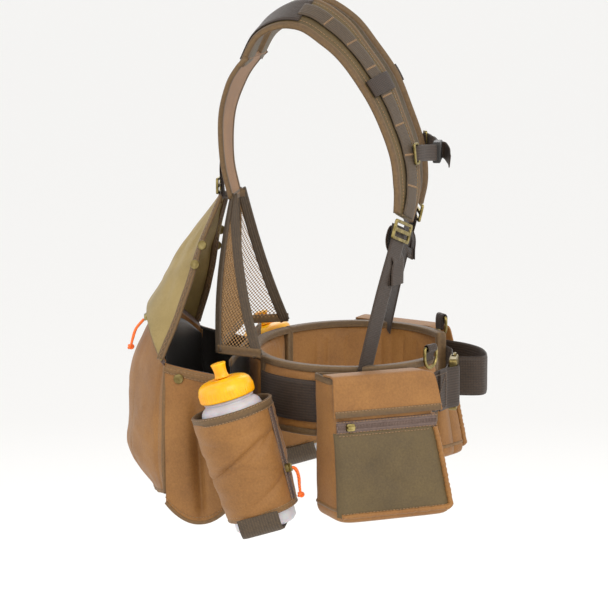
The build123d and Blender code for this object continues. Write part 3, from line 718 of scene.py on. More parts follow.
def apply_all(piece: Piece) -> None:
    """Replaces a piece's mesh by the result of its modifiers."""
    depsgraph = bpy.context.evaluated_depsgraph_get()
    done = bpy.data.meshes.new_from_object(piece.evaluated_get(depsgraph))
    old = piece.data
    piece.modifiers.clear()
    piece.data = done
    bpy.data.meshes.remove(old)


def inflate(piece: Piece, voxel: float, cap: float) -> None:
    """Fills a pad by cloth simulation: remesh, 20 frames of pressure, capped movement.

    Args:
        piece: Closed mesh, slightly smaller than the finished pad.
        voxel: Remesh size in millimetres.
        cap: Furthest that a point may move, in millimetres.
    """
    remesh = piece.modifiers.new("remesh", "REMESH")
    remesh.mode = "VOXEL"
    remesh.voxel_size = voxel * MM
    apply_all(piece)
    before = np.zeros(len(piece.data.vertices) * 3, dtype=np.float32)
    piece.data.vertices.foreach_get("co", before)
    cloth = piece.modifiers.new("cloth", "CLOTH")
    cloth.settings.use_pressure = True
    cloth.settings.uniform_pressure_force = 4.0
    cloth.settings.effector_weights.gravity = 0.0
    cloth.settings.quality = 4
    scene = bpy.context.scene
    for step in range(1, 21):
        scene.frame_set(step)
    apply_all(piece)
    scene.frame_set(1)
    after = np.zeros_like(before)
    piece.data.vertices.foreach_get("co", after)
    move = (after - before).reshape(-1, 3)
    far = np.linalg.norm(move, axis=1, keepdims=True)
    move *= np.minimum(1.0, cap * MM / np.maximum(far, 1e-9))
    piece.data.vertices.foreach_set("co", (before.reshape(-1, 3) + move).ravel())
    smooth = piece.modifiers.new("finish", "SUBSURF")
    smooth.levels = 1
    smooth.render_levels = 1
    apply_all(piece)
    piece.data.shade_smooth()


def mirrored(piece: Piece, name: str, body: str = ROOT) -> Piece:
    """A copy of a right-hand piece on the left, with its faces turned outwards again."""
    mesh = piece.data.copy()
    mesh.name = name
    spots = np.zeros(len(mesh.vertices) * 3, dtype=np.float32)
    mesh.vertices.foreach_get("co", spots)
    mesh.vertices.foreach_set("co", (spots.reshape(-1, 3) * MIRROR).astype(np.float32).ravel())
    mesh.flip_normals()
    copy = add_object(name, mesh)
    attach(copy, body)
    return copy


# ---- waist belt ----------------------------------------------------------------------
@dataclass
class Belt:
    """Padded belt: an oval lumbar pad and two wings under 50 mm webbing."""

    centre_x: float = 12.0
    half_long: float = 116.0
    half_wide: float = 162.0
    pad: float = 12.0
    half_height: float = 42.0
    web_half: float = 25.0
    web_thick: float = 2.6
    wing_front: float = 31.0
    wing_rear: float = 141.0
    leave_angle: float = 22.0

    def plan(self, angles: Array, out: float, z: float = 0.0) -> Array:
        """Points on the oval, `out` beyond the pad's inner face, on the right side."""
        turn = np.radians(np.asarray(angles, dtype=float))
        return np.stack([self.centre_x + (self.half_long + out) * np.cos(turn),
                         -(self.half_wide + out) * np.sin(turn), turn * 0 + z], axis=1)

    def outward(self, angles: Array) -> Array:
        """Unit directions away from the oval's centre line."""
        return unit(self.plan(angles, 1.0) - self.plan(angles, 0.0))

    def pad_piece(self, name: str, start: float, end: float) -> Piece:
        """A foam pad: a rounded rectangle carried along the oval, then inflated."""
        angles = np.linspace(start, end, 72)
        path = self.plan(angles, self.pad / 2) * MM
        run = np.linspace(0, 1, len(angles))
        ends = np.clip(np.minimum(run, 1 - run) / 0.05, 0, 1)
        taper = (0.86 + 0.14 * np.sqrt(1 - (1 - ends) ** 2))[:, None, None]
        profile = superellipse(self.pad - 3, 2 * self.half_height - 6, 5, 28) * MM
        piece = swept(name, path, self.outward(angles), profile * taper, "pad")
        inflate(piece, voxel=5.0, cap=4.0)
        return piece

    def edge_bindings(self, name: str, start: float, end: float) -> Piece:
        """Grosgrain folded over the pad's top and bottom edges, as one closed frame."""
        angles = np.linspace(start, end, 90)
        top = self.half_height - 3.5
        upper = self.plan(angles, self.pad / 2, top)
        lower = self.plan(angles[::-1], self.pad / 2, -top)
        path = np.concatenate([upper, lower])
        side = np.concatenate([self.outward(angles), self.outward(angles[::-1])])
        path, side = evenly(np.concatenate([path, path[:1]]), 3.0, np.concatenate([side, side[:1]]))
        profile = superellipse(self.pad + 1.4, 8.5, 4, 16) * MM
        return swept(name, path[:-1] * MM, side[:-1], profile, "binding", closed=True)

    def webbing_right(self) -> Piece:
        """Webbing on the right wing; it folds round the frame's bar and is sewn back."""
        low, high = (corner / MM for corner in map(np.array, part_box("buckle_frame")))
        back, front, bar = low[0] - 1.7, high[0] + 1.7, low[1] + 4.5 + 1.7
        out = self.pad + 0.3 + self.web_thick / 2
        on_pad = self.plan(np.linspace(self.wing_rear, self.leave_angle, 40), out)
        loop = [[back, low[1] - 3, 0], [back, bar - 2.5, 0], [back + 1.2, bar, 0],
                [(back + front) / 2, bar + 0.3, 0], [front - 1.2, bar, 0],
                [front, bar - 2.5, 0], [front - 0.2, low[1] - 4, 0]]
        sewn = self.plan(np.array([self.leave_angle + 1.0, 26.0, 31.0]), out + 3.0)
        path = np.concatenate([on_pad, loop, sewn])
        path = evenly(smooth_line(path, 400), 1.6)[0]
        profile = band_profile(2 * self.web_half, self.web_thick) * MM
        return swept("belt_webbing_right", path * MM, (0, 0, 1), profile, "webbing")

    def webbing_left(self) -> Piece:
        """Webbing on the left wing; it passes the plate's slot and its tail curls back."""
        low = np.array(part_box("buckle_plate")[0]) / MM
        out = self.pad + 0.3 + self.web_thick / 2
        behind = low[0] - 2.0
        on_pad = self.plan(np.linspace(self.wing_rear, self.leave_angle, 40), out) * MIRROR
        tail = [[behind, 26, 0], [behind, 14, 0], [behind + 3, 11.8, 0], [behind + 12, 11.8, 0],
                [165, 13, 0], [174.5, 20, 0], [177, 40, 0], [168, 80, 0], [147, 112, 0],
                [118, 135, 0]]
        path = evenly(smooth_line(np.concatenate([on_pad, tail]), 500), 2.0)[0]
        profile = band_profile(2 * self.web_half - 0.8, self.web_thick) * MM
        return swept("belt_webbing_left", path * MM, (0, 0, 1), profile, "webbing")

    def box_stitch(self, name: str, angles: tuple[float, float], out: float, side: Side) -> Piece:
        """A box of stitching with a cross through it on the webbing."""
        half = self.web_half - 4
        first, last = (self.plan(np.array([a]), out)[0] for a in angles)
        corners = [first + [0, 0, half], last + [0, 0, half], last - [0, 0, half],
                   first - [0, 0, half], first + [0, 0, half], last - [0, 0, half]]
        path = evenly(np.array(corners), 2.0)[0]
        normal = self.outward(np.array([sum(angles) / 2]))[0]
        return stitches(name, side.place(path * MM), side.place(normal), "dark thread",
                        pitch=3.2, length=2.5)

    def build(self) -> None:
        """Builds the pads, their bindings and the webbing."""
        side_span = (self.wing_front, self.wing_rear)
        back_span = (self.wing_rear + 1, 359 - self.wing_rear)
        wing = self.pad_piece("belt_wing_right", *side_span)
        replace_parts(wing, "belt_wing_r")
        other = mirrored(wing, "belt_wing_left")
        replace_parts(other, "belt_wing_l")
        lumbar = self.pad_piece("lumbar_pad_cover", *back_span)
        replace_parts(lumbar, "lumbar_pad")
        frame_right = self.edge_bindings("belt_binding_right", *side_span)
        mirrored(frame_right, "belt_binding_left")
        self.edge_bindings("lumbar_binding", *back_span)
        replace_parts(self.webbing_right(), "belt_webbing_r")
        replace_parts(self.webbing_left(), "belt_webbing_l")
        for side in Side:
            name = "belt_box_stitch_" + side.value
            self.box_stitch(name, (26.0, 36.0), self.pad + 3.4 + (3.2 if side is Side.RIGHT else 0),
                            side)


# ---- shoulder straps -----------------------------------------------------------------
@dataclass
class ShoulderStraps:
    """Padded straps with bound edges, daisy-chain webbing and a keeper band."""

    edges: list = field(default_factory=lambda: [
        ((-116, -88, 392), (-112, -26, 398)), ((-98, -93, 424), (-90, -34, 440)),
        ((-70, -98, 438), (-60, -43, 463)), ((-40, -105, 436), (-32, -51, 468)),
        ((-10, -111, 416), (0, -57, 450)), ((16, -116, 391), (26, -61, 421)),
        ((40, -120, 355), (56, -63, 380)), ((58, -122, 318), (76, -64, 334)),
        ((70, -124, 282), (92, -67, 288)), ((74, -131, 248), (96, -75, 248)),
        ((74, -134, 216), (90, -96, 214))])
    pad: float = 9.0
    daisy: float = 25.0
    web: float = 2.4
    loop: float = 38.0

    def line(self, count: int = 150) -> tuple[Array, Array, Array, Array]:
        """Middle, width direction, upward direction and width along the right strap."""
        rail = evenly(smooth_line(np.array(self.edges, dtype=float).reshape(-1, 6), 400), 3.0)[0]
        rail = smooth_line(rail, count)
        outer, inner = rail[:, :3], rail[:, 3:]
        middle = (outer + inner) / 2
        along = unit(np.gradient(middle, axis=0))
        side = unit(inner - outer)
        side = unit(side - along * np.sum(side * along, axis=1, keepdims=True))
        return middle, side, np.cross(along, side), np.linalg.norm(inner - outer, axis=1)

    def tacks(self, middle: Array, side: Array, up: Array, which: Side) -> Piece:
        """Bar tacks: short dense zigzag rows across the webbing, one for each loop."""
        run = lengths(middle)
        marks = np.linspace(0, run[-1], round(run[-1] / self.loop) + 1)[1:-1]
        spots, sides, ups = (np.stack([np.interp(marks, run, values[:, axis])
                                       for axis in range(3)], axis=1)
                             for values in (middle, side, up))
        across = np.linspace(-0.42, 0.42, 15) * self.daisy
        rows = spots[:, None] + sides[:, None] * across[None, :, None]
        away = np.repeat(ups[:, None], len(across), axis=1)
        forward = np.cross(sides, ups)[:, None]
        swing = np.where(np.arange(len(across)) % 2, 0.5, -0.5)[None, :, None]
        aim = unit(forward + sides[:, None] * swing)
        return stitch_cluster("daisy_tacks_" + which.value,
                              which.place(rows.reshape(-1, 3) * MM),
                              which.place(aim.reshape(-1, 3)), which.place(away.reshape(-1, 3)),
                              "thread", 3.0, 0.5)

    def build_side(self, which: Side) -> None:
        """Builds one strap with everything sewn to it."""
        tag = which.value
        middle, side, up, width = self.line()
        pads = widened(superellipse(1.0, self.pad, 3.2, 28), width - 2)
        # The strap pad takes the olive darkened as painted shade.
        strap = which.band("strap_pad", middle, side, pads, "shaded olive")
        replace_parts(strap, "shoulder_strap_" + tag)
        for edge, sign in (("outer", -1), ("inner", 1)):
            path = middle + side * (width[:, None] / 2 - 3.2) * sign
            which.band(f"strap_binding_{edge}", path, side, superellipse(9.0, 7.6, 3, 16),
                       "binding")
            seam = middle + side * (width[:, None] / 2 - 10.5) * sign + up * (self.pad / 2 - 0.2)
            which.seam(f"strap_seam_{edge}", seam, up)
        start = 38
        run = lengths(middle[start:])
        loop = run[-1] / round(run[-1] / self.loop)
        rise = 0.9 * np.abs(np.sin(math.pi * run / loop)) ** 0.7
        lift = self.pad / 2 + self.web / 2 + 0.4 + rise
        path = middle[start:] + up[start:] * lift[:, None]
        daisy = which.band("daisy_chain", path, side[start:], band_profile(self.daisy, self.web),
                           "daisy")
        base = middle[start:] + up[start:] * (self.pad / 2 + self.web + 0.5)
        self.tacks(base, side[start:], up[start:], which)
        keeper = slice(83, 92)
        arch = widened(superellipse(1.0, 6.8, 3, 32), width[keeper] - 13)
        band = which.band("strap_keeper", (middle + up * (self.pad / 2 + 1.9))[keeper],
                          side[keeper], arch, "webbing")
        patch = slice(2, 41)
        cover = widened(band_profile(1.0, 2.2), width[patch] - 14)
        which.band("strap_patch", (middle + up * (self.pad / 2 + 0.7))[patch], side[patch], cover,
                   "webbing")
        if which is Side.LEFT:
            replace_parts(daisy, "daisy_webbings")
            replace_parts(band, "strap_keepers")

    def build(self) -> None:
        """Builds both straps."""
        for which in Side:
            self.build_side(which)


def stitch_cluster(name: str, spots: Array, along: Array, away: Array,
                   finish: str, length: float, radius: float,
                   body: str = ROOT) -> Piece:
    """Separate stitches: a six-sided capsule at each spot, aimed by its own direction.

    Args:
        name: Piece name.
        spots: Places in metres.
        along: Direction of each stitch.
        away: Direction away from the cloth at each stitch.
        finish: Short name of the finish.
        length: Length in millimetres.
        radius: Radius in millimetres.
        body: Body that the piece moves with.

    Returns:
        The new object.
    """
    along = unit(along)
    across = unit(np.cross(away, along))
    away = np.cross(along, across)
    return capsules(name, spots, (along, across, away), (length, radius), finish, body)


# ---- yoke and mesh back --------------------------------------------------------------
@dataclass
class BackPanel:
    """Yoke between the straps, and an open mesh panel down to the bag's front."""

    yoke: list = field(default_factory=lambda: [(-136.5, 225, 38), (-146, 270, 42),
                                                (-146, 325, 56), (-134, 366, 78),
                                                (-120, 389, 90), (-108, 401, 92)])
    top: tuple = (-136.0, 38.0, 229.0)
    foot: tuple = (-129.0, 136.0, 46.0)
    hole: float = 4.8
    band: float = 13.0
    corner: float = 0.65
    flat_part: float = 0.80

    def half_width(self, share: Array) -> Array:
        """Half of the mesh's width, from its top at 0 to its foot at 1, slightly hollow."""
        return self.top[1] + (self.foot[1] - self.top[1]) * share + 8 * np.sin(math.pi * share)

    def spot(self, across: Array, share: Array) -> Array:
        """Points on the mesh: across from -1 to 1, share from top to foot.

        The middle lies flat behind the back up to the corner, and each side then turns
        forwards: past the corner x grows while y only covers its last part.
        """
        side = np.clip((np.abs(across) - self.corner) / (1 - self.corner), 0, 1)
        middle = np.clip(np.abs(across) / self.corner, 0, 1)
        y = np.sign(across) * (self.flat_part * middle + (1 - self.flat_part) * side)
        x = self.top[0] - 9 * np.sin(math.pi * np.clip(share, 0, 1) * 0.75) + side ** 1.15 * (
            6 + 50 * share)
        return xyz(x, y * self.half_width(share),
                   self.top[2] + (self.foot[2] - self.top[2]) * share)

    def mesh(self) -> Piece:
        """Open mesh: each cell is a ring of faces between a diamond and its round hole."""
        tall = self.top[2] - self.foot[2]
        spread = self.flat_part / self.corner
        wide = self.foot[1] * spread
        rows, columns = int(2 * tall / self.hole), int(2 * wide / self.hole)
        i, j = np.meshgrid(np.arange(rows), np.arange(-columns // 2, columns // 2), indexing="ij")
        z = (i + 0.5) * self.hole / 2
        y = (j + 0.5 * (i % 2)) * self.hole
        share = z / tall
        keep = np.abs(y) < self.half_width(share) * spread - 4
        y, z = y[keep], z[keep]
        turn = around(8)
        square = np.maximum(np.abs(np.cos(turn)) + np.abs(np.sin(turn)), 1e-9)
        outer = np.stack([np.cos(turn), np.sin(turn)], axis=1) / square[:, None] * self.hole / 2
        inner = np.stack([np.cos(turn), np.sin(turn)], axis=1) * self.hole * 0.32
        rings = np.stack([outer, inner], axis=0)
        flat = np.stack([y, z], axis=1)[:, None, None] + rings[None]
        share = np.clip(flat[..., 1] / tall, 0, 1)
        across = np.clip(flat[..., 0] / (self.half_width(share) * spread), -1, 1)
        points = self.spot(across, share) * MM
        piece = make_object("back_mesh_net", points.reshape(-1, 3),
                            copies(grid_faces(2, 8, closed=True), len(y), 16),
                            flat.reshape(-1, 2) * MM, "net")
        weld = piece.modifiers.new("weld", "WELD")
        weld.merge_threshold = 0.0002
        solid = piece.modifiers.new("thickness", "SOLIDIFY")
        solid.thickness = 0.5 * MM
        solid.offset = 0.0
        apply_all(piece)
        return piece

    def build(self) -> None:
        """Builds the yoke, the mesh, its bound edges and the strap to the flap."""
        line = smooth_line(np.array(self.yoke, dtype=float), 40)
        path = np.stack([line[:, 0], line[:, 0] * 0, line[:, 1]], axis=1)
        pads = widened(superellipse(1.0, 5.0, 6, 48), 2 * line[:, 2] - 2)
        yoke = swept("yoke_cover", path * MM, (0, 1, 0), pads * MM, "tan")
        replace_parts(yoke, "yoke_panel")
        for which in Side:
            edge = path + np.stack([line[:, 0] * 0, -(line[:, 2] - 4), line[:, 0] * 0], axis=1)
            which.band("yoke_binding", edge, (0, 1, 0), superellipse(10, 6.4, 4, 16), "binding")
        net = self.mesh()
        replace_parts(net, "back_mesh")
        share = np.linspace(0, 1, 60)
        for which in Side:
            side = unit(self.spot(share * 0 - 0.9, share) - self.spot(share * 0 - 1, share))
            rail = self.spot(share * 0 - 1, share) + side * (self.band / 2 - 2)
            which.band("mesh_binding", rail, side, band_profile(self.band, 3.4), "daisy")
            seam = rail + side * (self.band / 2 - 2)
            which.seam("mesh_seam", seam + [-1.9, 0, 0], (-1, 0, 0))
            fold = self.spot(share * 0 - 0.66, share)
            aside = unit(self.spot(share * 0 - 0.58, share) - self.spot(share * 0 - 0.76, share))
            which.band("mesh_rib", fold, aside, band_profile(self.band + 1, 2.6), "daisy")
        across = np.linspace(-1, 1, 60)
        hem = self.spot(across, across * 0 + 1) + [0, 0, 4.0]
        swept("mesh_hem", hem * MM, (0, 0, 1), band_profile(11, 3.2) * MM, "binding")
        head = self.spot(across, across * 0) + [0, 0, -4.0]
        swept("mesh_head", head * MM, (0, 0, 1), band_profile(11, 3.2) * MM, "binding")
        strap = np.array([(-151, 0, 224), (-152.4, 0, 240), (-153.5, 0, 262), (-150.5, 0, 290)],
                         dtype=float)
        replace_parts(swept("flap_top_strap", smooth_line(strap, 40) * MM, (0, 1, 0),
                          band_profile(25, 1.8) * MM, "webbing"), "flap_strap")


# ---- game bag ------------------------------------------------------------------------
def arc_surface(edges: Sequence, middles: Sequence, rows: int, columns: int) -> Array:
    """Rows of circle arcs through a right edge point, a middle point and the mirrored edge.

    Args:
        edges: Right edge points down the panel, in millimetres.
        middles: Middle points down the panel.
        rows: Rows of the grid.
        columns: Columns of the grid, from the right edge to the left.

    Returns:
        Grid of points in millimetres.
    """
    edge, over = smooth_line(edges, rows), smooth_line(middles, rows)
    chord = edge * [1, 0, 1]
    lean = over - chord
    rise = np.maximum(np.linalg.norm(lean, axis=1), 0.5)
    half = np.abs(edge[:, 1])
    radius = (half ** 2 + rise ** 2) / (2 * rise)
    up = lean / rise[:, None]
    centre = over - up * radius[:, None]
    reach = np.arcsin(np.clip(half / radius, 0, 1))
    turn = np.linspace(-1, 1, columns)[None] * reach[:, None]
    return (centre[:, None] + up[:, None] * (radius[:, None] * np.cos(turn))[..., None]
            + np.array([0.0, 1.0, 0.0]) * (radius[:, None] * np.sin(turn))[..., None])


@dataclass
class GameBag:
    """Open-sided bag: olive upper flap, arched zip, bulging rear pocket and side panels."""

    half: float = 140.0
    front_x: float = -122.0
    seam_x: float = -204.0
    arch_top: tuple = (-240.0, 0.0, 88.0)
    arch_foot_z: float = 36.0
    zip_half: float = 5.0
    cloth: float = 2.0

    def arch(self, offset: float, share: float = 1.0) -> tuple[Array, Array]:
        """Edge and middle point of an arc beside the zip, `offset` beyond its middle."""
        centre, up, radius, span = self.arch_frame()
        radius += offset
        turn = span * share
        edge = centre + up * radius * math.cos(turn) - np.array([0, radius * math.sin(turn), 0])
        return edge, centre + up * radius

    def arch_frame(self) -> tuple[Array, Array, float, float]:
        """Centre, upward direction, radius and half angle of the zip's arc."""
        top = np.array(self.arch_top)
        lean = top - [self.seam_x, 0, self.arch_foot_z]
        rise = float(np.linalg.norm(lean))
        radius = (self.half ** 2 + rise ** 2) / (2 * rise)
        up = lean / rise
        return top - up * radius, up, radius, math.asin(self.half / radius)

    def upper_flap(self) -> None:
        """Olive flap from the zip up to the yoke's strap, with bound side edges."""
        low_edge, low_middle = self.arch(self.zip_half + 1.5)
        edges = [(-150, -32, 226), (-168, -74, 166), (-184, -112, 104), low_edge]
        middles = [(-154, 0, 227), (-197, 0, 168), (-224, 0, 126), low_middle]
        points = arc_surface(edges, middles, 60, 80)
        normals = surface_normals(points)
        run = np.linspace(0, 1, 60)[:, None]
        pull = np.sin(math.pi * run) * (2.2 * cloud(60, 80, (4, 7), 5)
                                        + 1.0 * cloud(60, 80, (9, 16), 6))
        points = points + normals * pull[..., None]
        flap = sheet_piece("bag_upper_flap", points * MM, self.cloth * MM, "olive")
        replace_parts(flap, "upper_flap")
        for which in Side:
            edge = points[:, 0]
            inward = unit(points[:, 4] - points[:, 0])
            rail = edge + inward * 4.0
            which.band("flap_binding", rail, inward, band_profile(10, 4.2), "binding")
            away = normals[:, 2]
            for sign, label in ((1, "outside"), (-1, "inside")):
                seam = rail + away * 2.3 * sign
                which.seam(f"flap_zigzag_{label}", seam, away * sign, "thread", pitch=3.4,
                           length=4.0, zigzag=3.4)
        head = points[0] + [0, 0, -3]
        swept("flap_head_binding", head * MM, (0, 0, 1), band_profile(9, 4) * MM, "binding")

    def rear_pocket(self) -> None:
        """Bulging tan rear pocket below the zip: arcs with folds that run from its seams."""
        top_edge, top_middle = self.arch(-self.zip_half - 0.8)
        edges = [top_edge, (self.seam_x, -139, 0), (self.seam_x - 1, -139, -45),
                 (self.seam_x - 2, -137, -90), (self.seam_x - 1, -131, -124)]
        middles = [top_middle, (-262, 0, 20), (-271, 0, -45), (-267, 0, -95), (-236, 0, -136)]
        rows, columns = 110, 140
        points = arc_surface(edges, middles, rows, columns)
        normals = surface_normals(points)
        flip = np.sign(-normals[..., :1])
        down = np.linspace(0, 1, rows)[:, None]
        across = np.linspace(-1, 1, columns)[None]
        seam_fold = np.exp(-((np.abs(across) - 0.93) / 0.03) ** 2)
        gather = np.sin(across * 34 + 3 * down) * np.exp(-((down - 1) / 0.16) ** 2)
        dart = np.exp(-((np.abs(across) - 0.46) / 0.02) ** 2) * np.clip(down * 1.6 - 0.5, 0, 1)
        sag = (2.4 * cloud(rows, columns, (4, 5), 11) + 1.2 * cloud(rows, columns, (9, 12), 12)
               + 0.5 * cloud(rows, columns, (22, 26), 13))
        quiet = hump(down, 0.02, 0.98) ** 0.4 * (1 - across ** 8)
        depth = sag * quiet - 1.8 * seam_fold + 1.3 * gather * quiet - 1.6 * dart
        points = points + normals * flip * depth[..., None]
        pocket = sheet_piece("bag_rear_pocket", points * MM, self.cloth * MM, "tan")
        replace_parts(pocket, "rear_pocket")
        away = normals * flip
        for which, column in ((Side.RIGHT, 4), (Side.LEFT, columns - 5)):
            rail = points[:, column] + away[:, column] * (self.cloth / 2)
            stitches("pocket_seam_" + which.value, rail[2:-2] * MM, away[2:-2, column])
            edge = points[:, 0 if which is Side.RIGHT else -1]
            swept("pocket_piping_" + which.value, edge * MM, (0, 1, 0),
                  superellipse(4.2, 5.4, 2.5, 12) * MM, "edge")
            mark = int(columns * (0.27 if which is Side.RIGHT else 0.73))
            dart_line = points[40:-3, mark] + away[40:-3, mark] * (self.cloth / 2)
            stitches("pocket_dart_" + which.value, dart_line * MM, away[40:-3, mark])
        for row in (3, 5):
            rail = points[row] + away[row] * (self.cloth / 2)
            stitches(f"pocket_zip_seam_{row}", rail * MM, away[row])
        swept("pocket_foot_piping", points[-1] * MM, (0, 0, 1),
              superellipse(5.5, 5.0, 2.5, 12) * MM, "edge")

    def rear_zip(self) -> None:
        """Zip tape along the arch with its coil in the middle."""
        centre, up, radius, span = self.arch_frame()
        turn = np.linspace(-span, span, 160)
        out = up[None] * np.cos(turn)[:, None] - np.array([0, 1, 0])[None] * np.sin(turn)[:, None]
        path = centre + out * radius
        tape = swept("rear_zip_band", path * MM, out, band_profile(2 * self.zip_half + 4, 1.8) * MM,
                     "ziptape")
        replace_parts(tape, "rear_zip_tape")
        rear = np.cross(up, [0.0, 1.0, 0.0])
        coil, outs = evenly(path + rear * 0.9, 2.0, out)
        stitch_cluster("rear_zip_coil", coil * MM, outs, outs * 0 + rear, "coil", 4.6, 0.85)

    def side_grid(self, rows: int, columns: int, depth: float = 0.0) -> Array:
        """Right side panel: rows from top to bottom, columns from the rear seam forwards."""
        x = np.linspace(self.seam_x + 1, self.front_x - 1, columns)[None]
        forward = (x - x.min()) / (x.max() - x.min())
        top = 37 - 17 * forward ** 0.8
        bottom = -126 - 34 * hump(forward * 0.9 + 0.05) ** 0.7
        down = np.linspace(0, 1, rows)[:, None]
        z = top + (bottom - top) * down
        x = x + 0 * z
        belly = 5.5 * np.sin(math.pi * down) * np.exp(-((forward - 0.22) / 0.25) ** 2)
        valley = 8.5 * np.exp(-((forward - 0.44 - 0.10 * down) / 0.085) ** 2)
        valley = valley * np.clip((down - 0.18) / 0.35, 0, 1) * np.clip((1 - down) / 0.10, 0.1, 1)
        folds = (1.5 * cloud(rows, columns, (5, 4), 21) + 0.6 * cloud(rows, columns, (12, 8), 22))
        quiet = hump(down, 0.03, 1) ** 0.5 * hump(forward, 0.03, 0.97) ** 0.5
        y = -(self.half - 2.2 + belly - valley + folds * quiet * 0.8 - depth)
        return xyz(x, y, z)

    def side_panels(self) -> None:
        """Side panels with a bound hem, an inward gusset fold and a black lining."""
        grid = self.side_grid(90, 50)
        lining = self.side_grid(60, 36, depth=2.6)
        outside = np.array([0.0, -1.0, 0.0])
        for which in Side:
            panel = which.sheet("bag_side_panel", grid, self.cloth, "tan")
            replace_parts(panel, "bag_side_" + which.value)
            which.sheet("bag_side_lining", lining, 1.0, "lining")
            hem = grid[2] * [1, 1, 1] + [0, -0.3, -2.5]
            which.band("bag_side_hem", hem, (0, 0, 1), band_profile(11, 3.8), "edge")
            for drop in (0.6, 6.4):
                line = grid[2] + [0, -2.5, -drop]
                which.seam(f"bag_hem_seam_{int(drop)}", line, outside)
            foot = grid[-4] + [0, -1.2, 0]
            which.seam("bag_foot_seam", foot, outside)
            which.band("bag_foot_piping", grid[-1], (0, 1, 0), superellipse(4.6, 5.0, 2.5, 12),
                       "edge")
            which.band("bag_front_piping", grid[:, -1], (0, 1, 0), band_profile(6, 3.2), "edge")

    def linings(self) -> None:
        """Floor, inner rear wall and front wall of the bag."""
        rail = self.side_grid(8, 50)[-1]
        across = np.linspace(-1, 1, 60)[:, None]
        sag = 3.0 * (1 - across ** 2) * np.sin(math.pi * np.linspace(0, 1, 50))[None]
        floor = xyz(rail[None, :, 0], across * (self.half - 3.5), rail[None, :, 2] - sag + 1.0)
        piece = sheet_piece("bag_floor_panel", floor * MM, self.cloth * MM, "tan")
        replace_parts(piece, "bag_floor")
        sheet_piece("bag_floor_lining", (floor + [0, 0, 2.6]) * MM, 1.2 * MM, "lining")
        edges = [(self.seam_x + 4, -134, 26), (self.seam_x + 4, -135, -45),
                 (self.seam_x + 5, -133, -118)]
        middles = [(-219, 0, 66), (-227, 0, -45), (-213, 0, -118)]
        wall = arc_surface(edges, middles, 50, 70)
        wall = wall + surface_normals(wall) * (1.6 * cloud(50, 70, (5, 6), 31))[..., None]
        inner = sheet_piece("bag_inner_wall", wall * MM, 1.6 * MM, "lining")
        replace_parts(inner, "bag_rear")
        y, z = np.meshgrid(np.linspace(-136, 136, 60), np.linspace(41, -149, 50))
        x = self.front_x - 1.2 - 1.4 * np.sin(math.pi * (y + 136) / 272) * np.sin(
            math.pi * (41 - z) / 190)
        front = sheet_piece("bag_front_wall", xyz(x, y, z) * MM, 1.8 * MM, "lining")
        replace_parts(front, "bag_front")
        hem = xyz(x[0] - 0.4, y[0], z[0] - 3)
        swept("bag_front_hem", hem * MM, (0, 0, 1), band_profile(9, 3.6) * MM, "binding")

    def build(self) -> None:
        """Builds every panel of the bag."""
        self.rear_zip()
        self.upper_flap()
        self.rear_pocket()
        self.side_panels()
        self.linings()


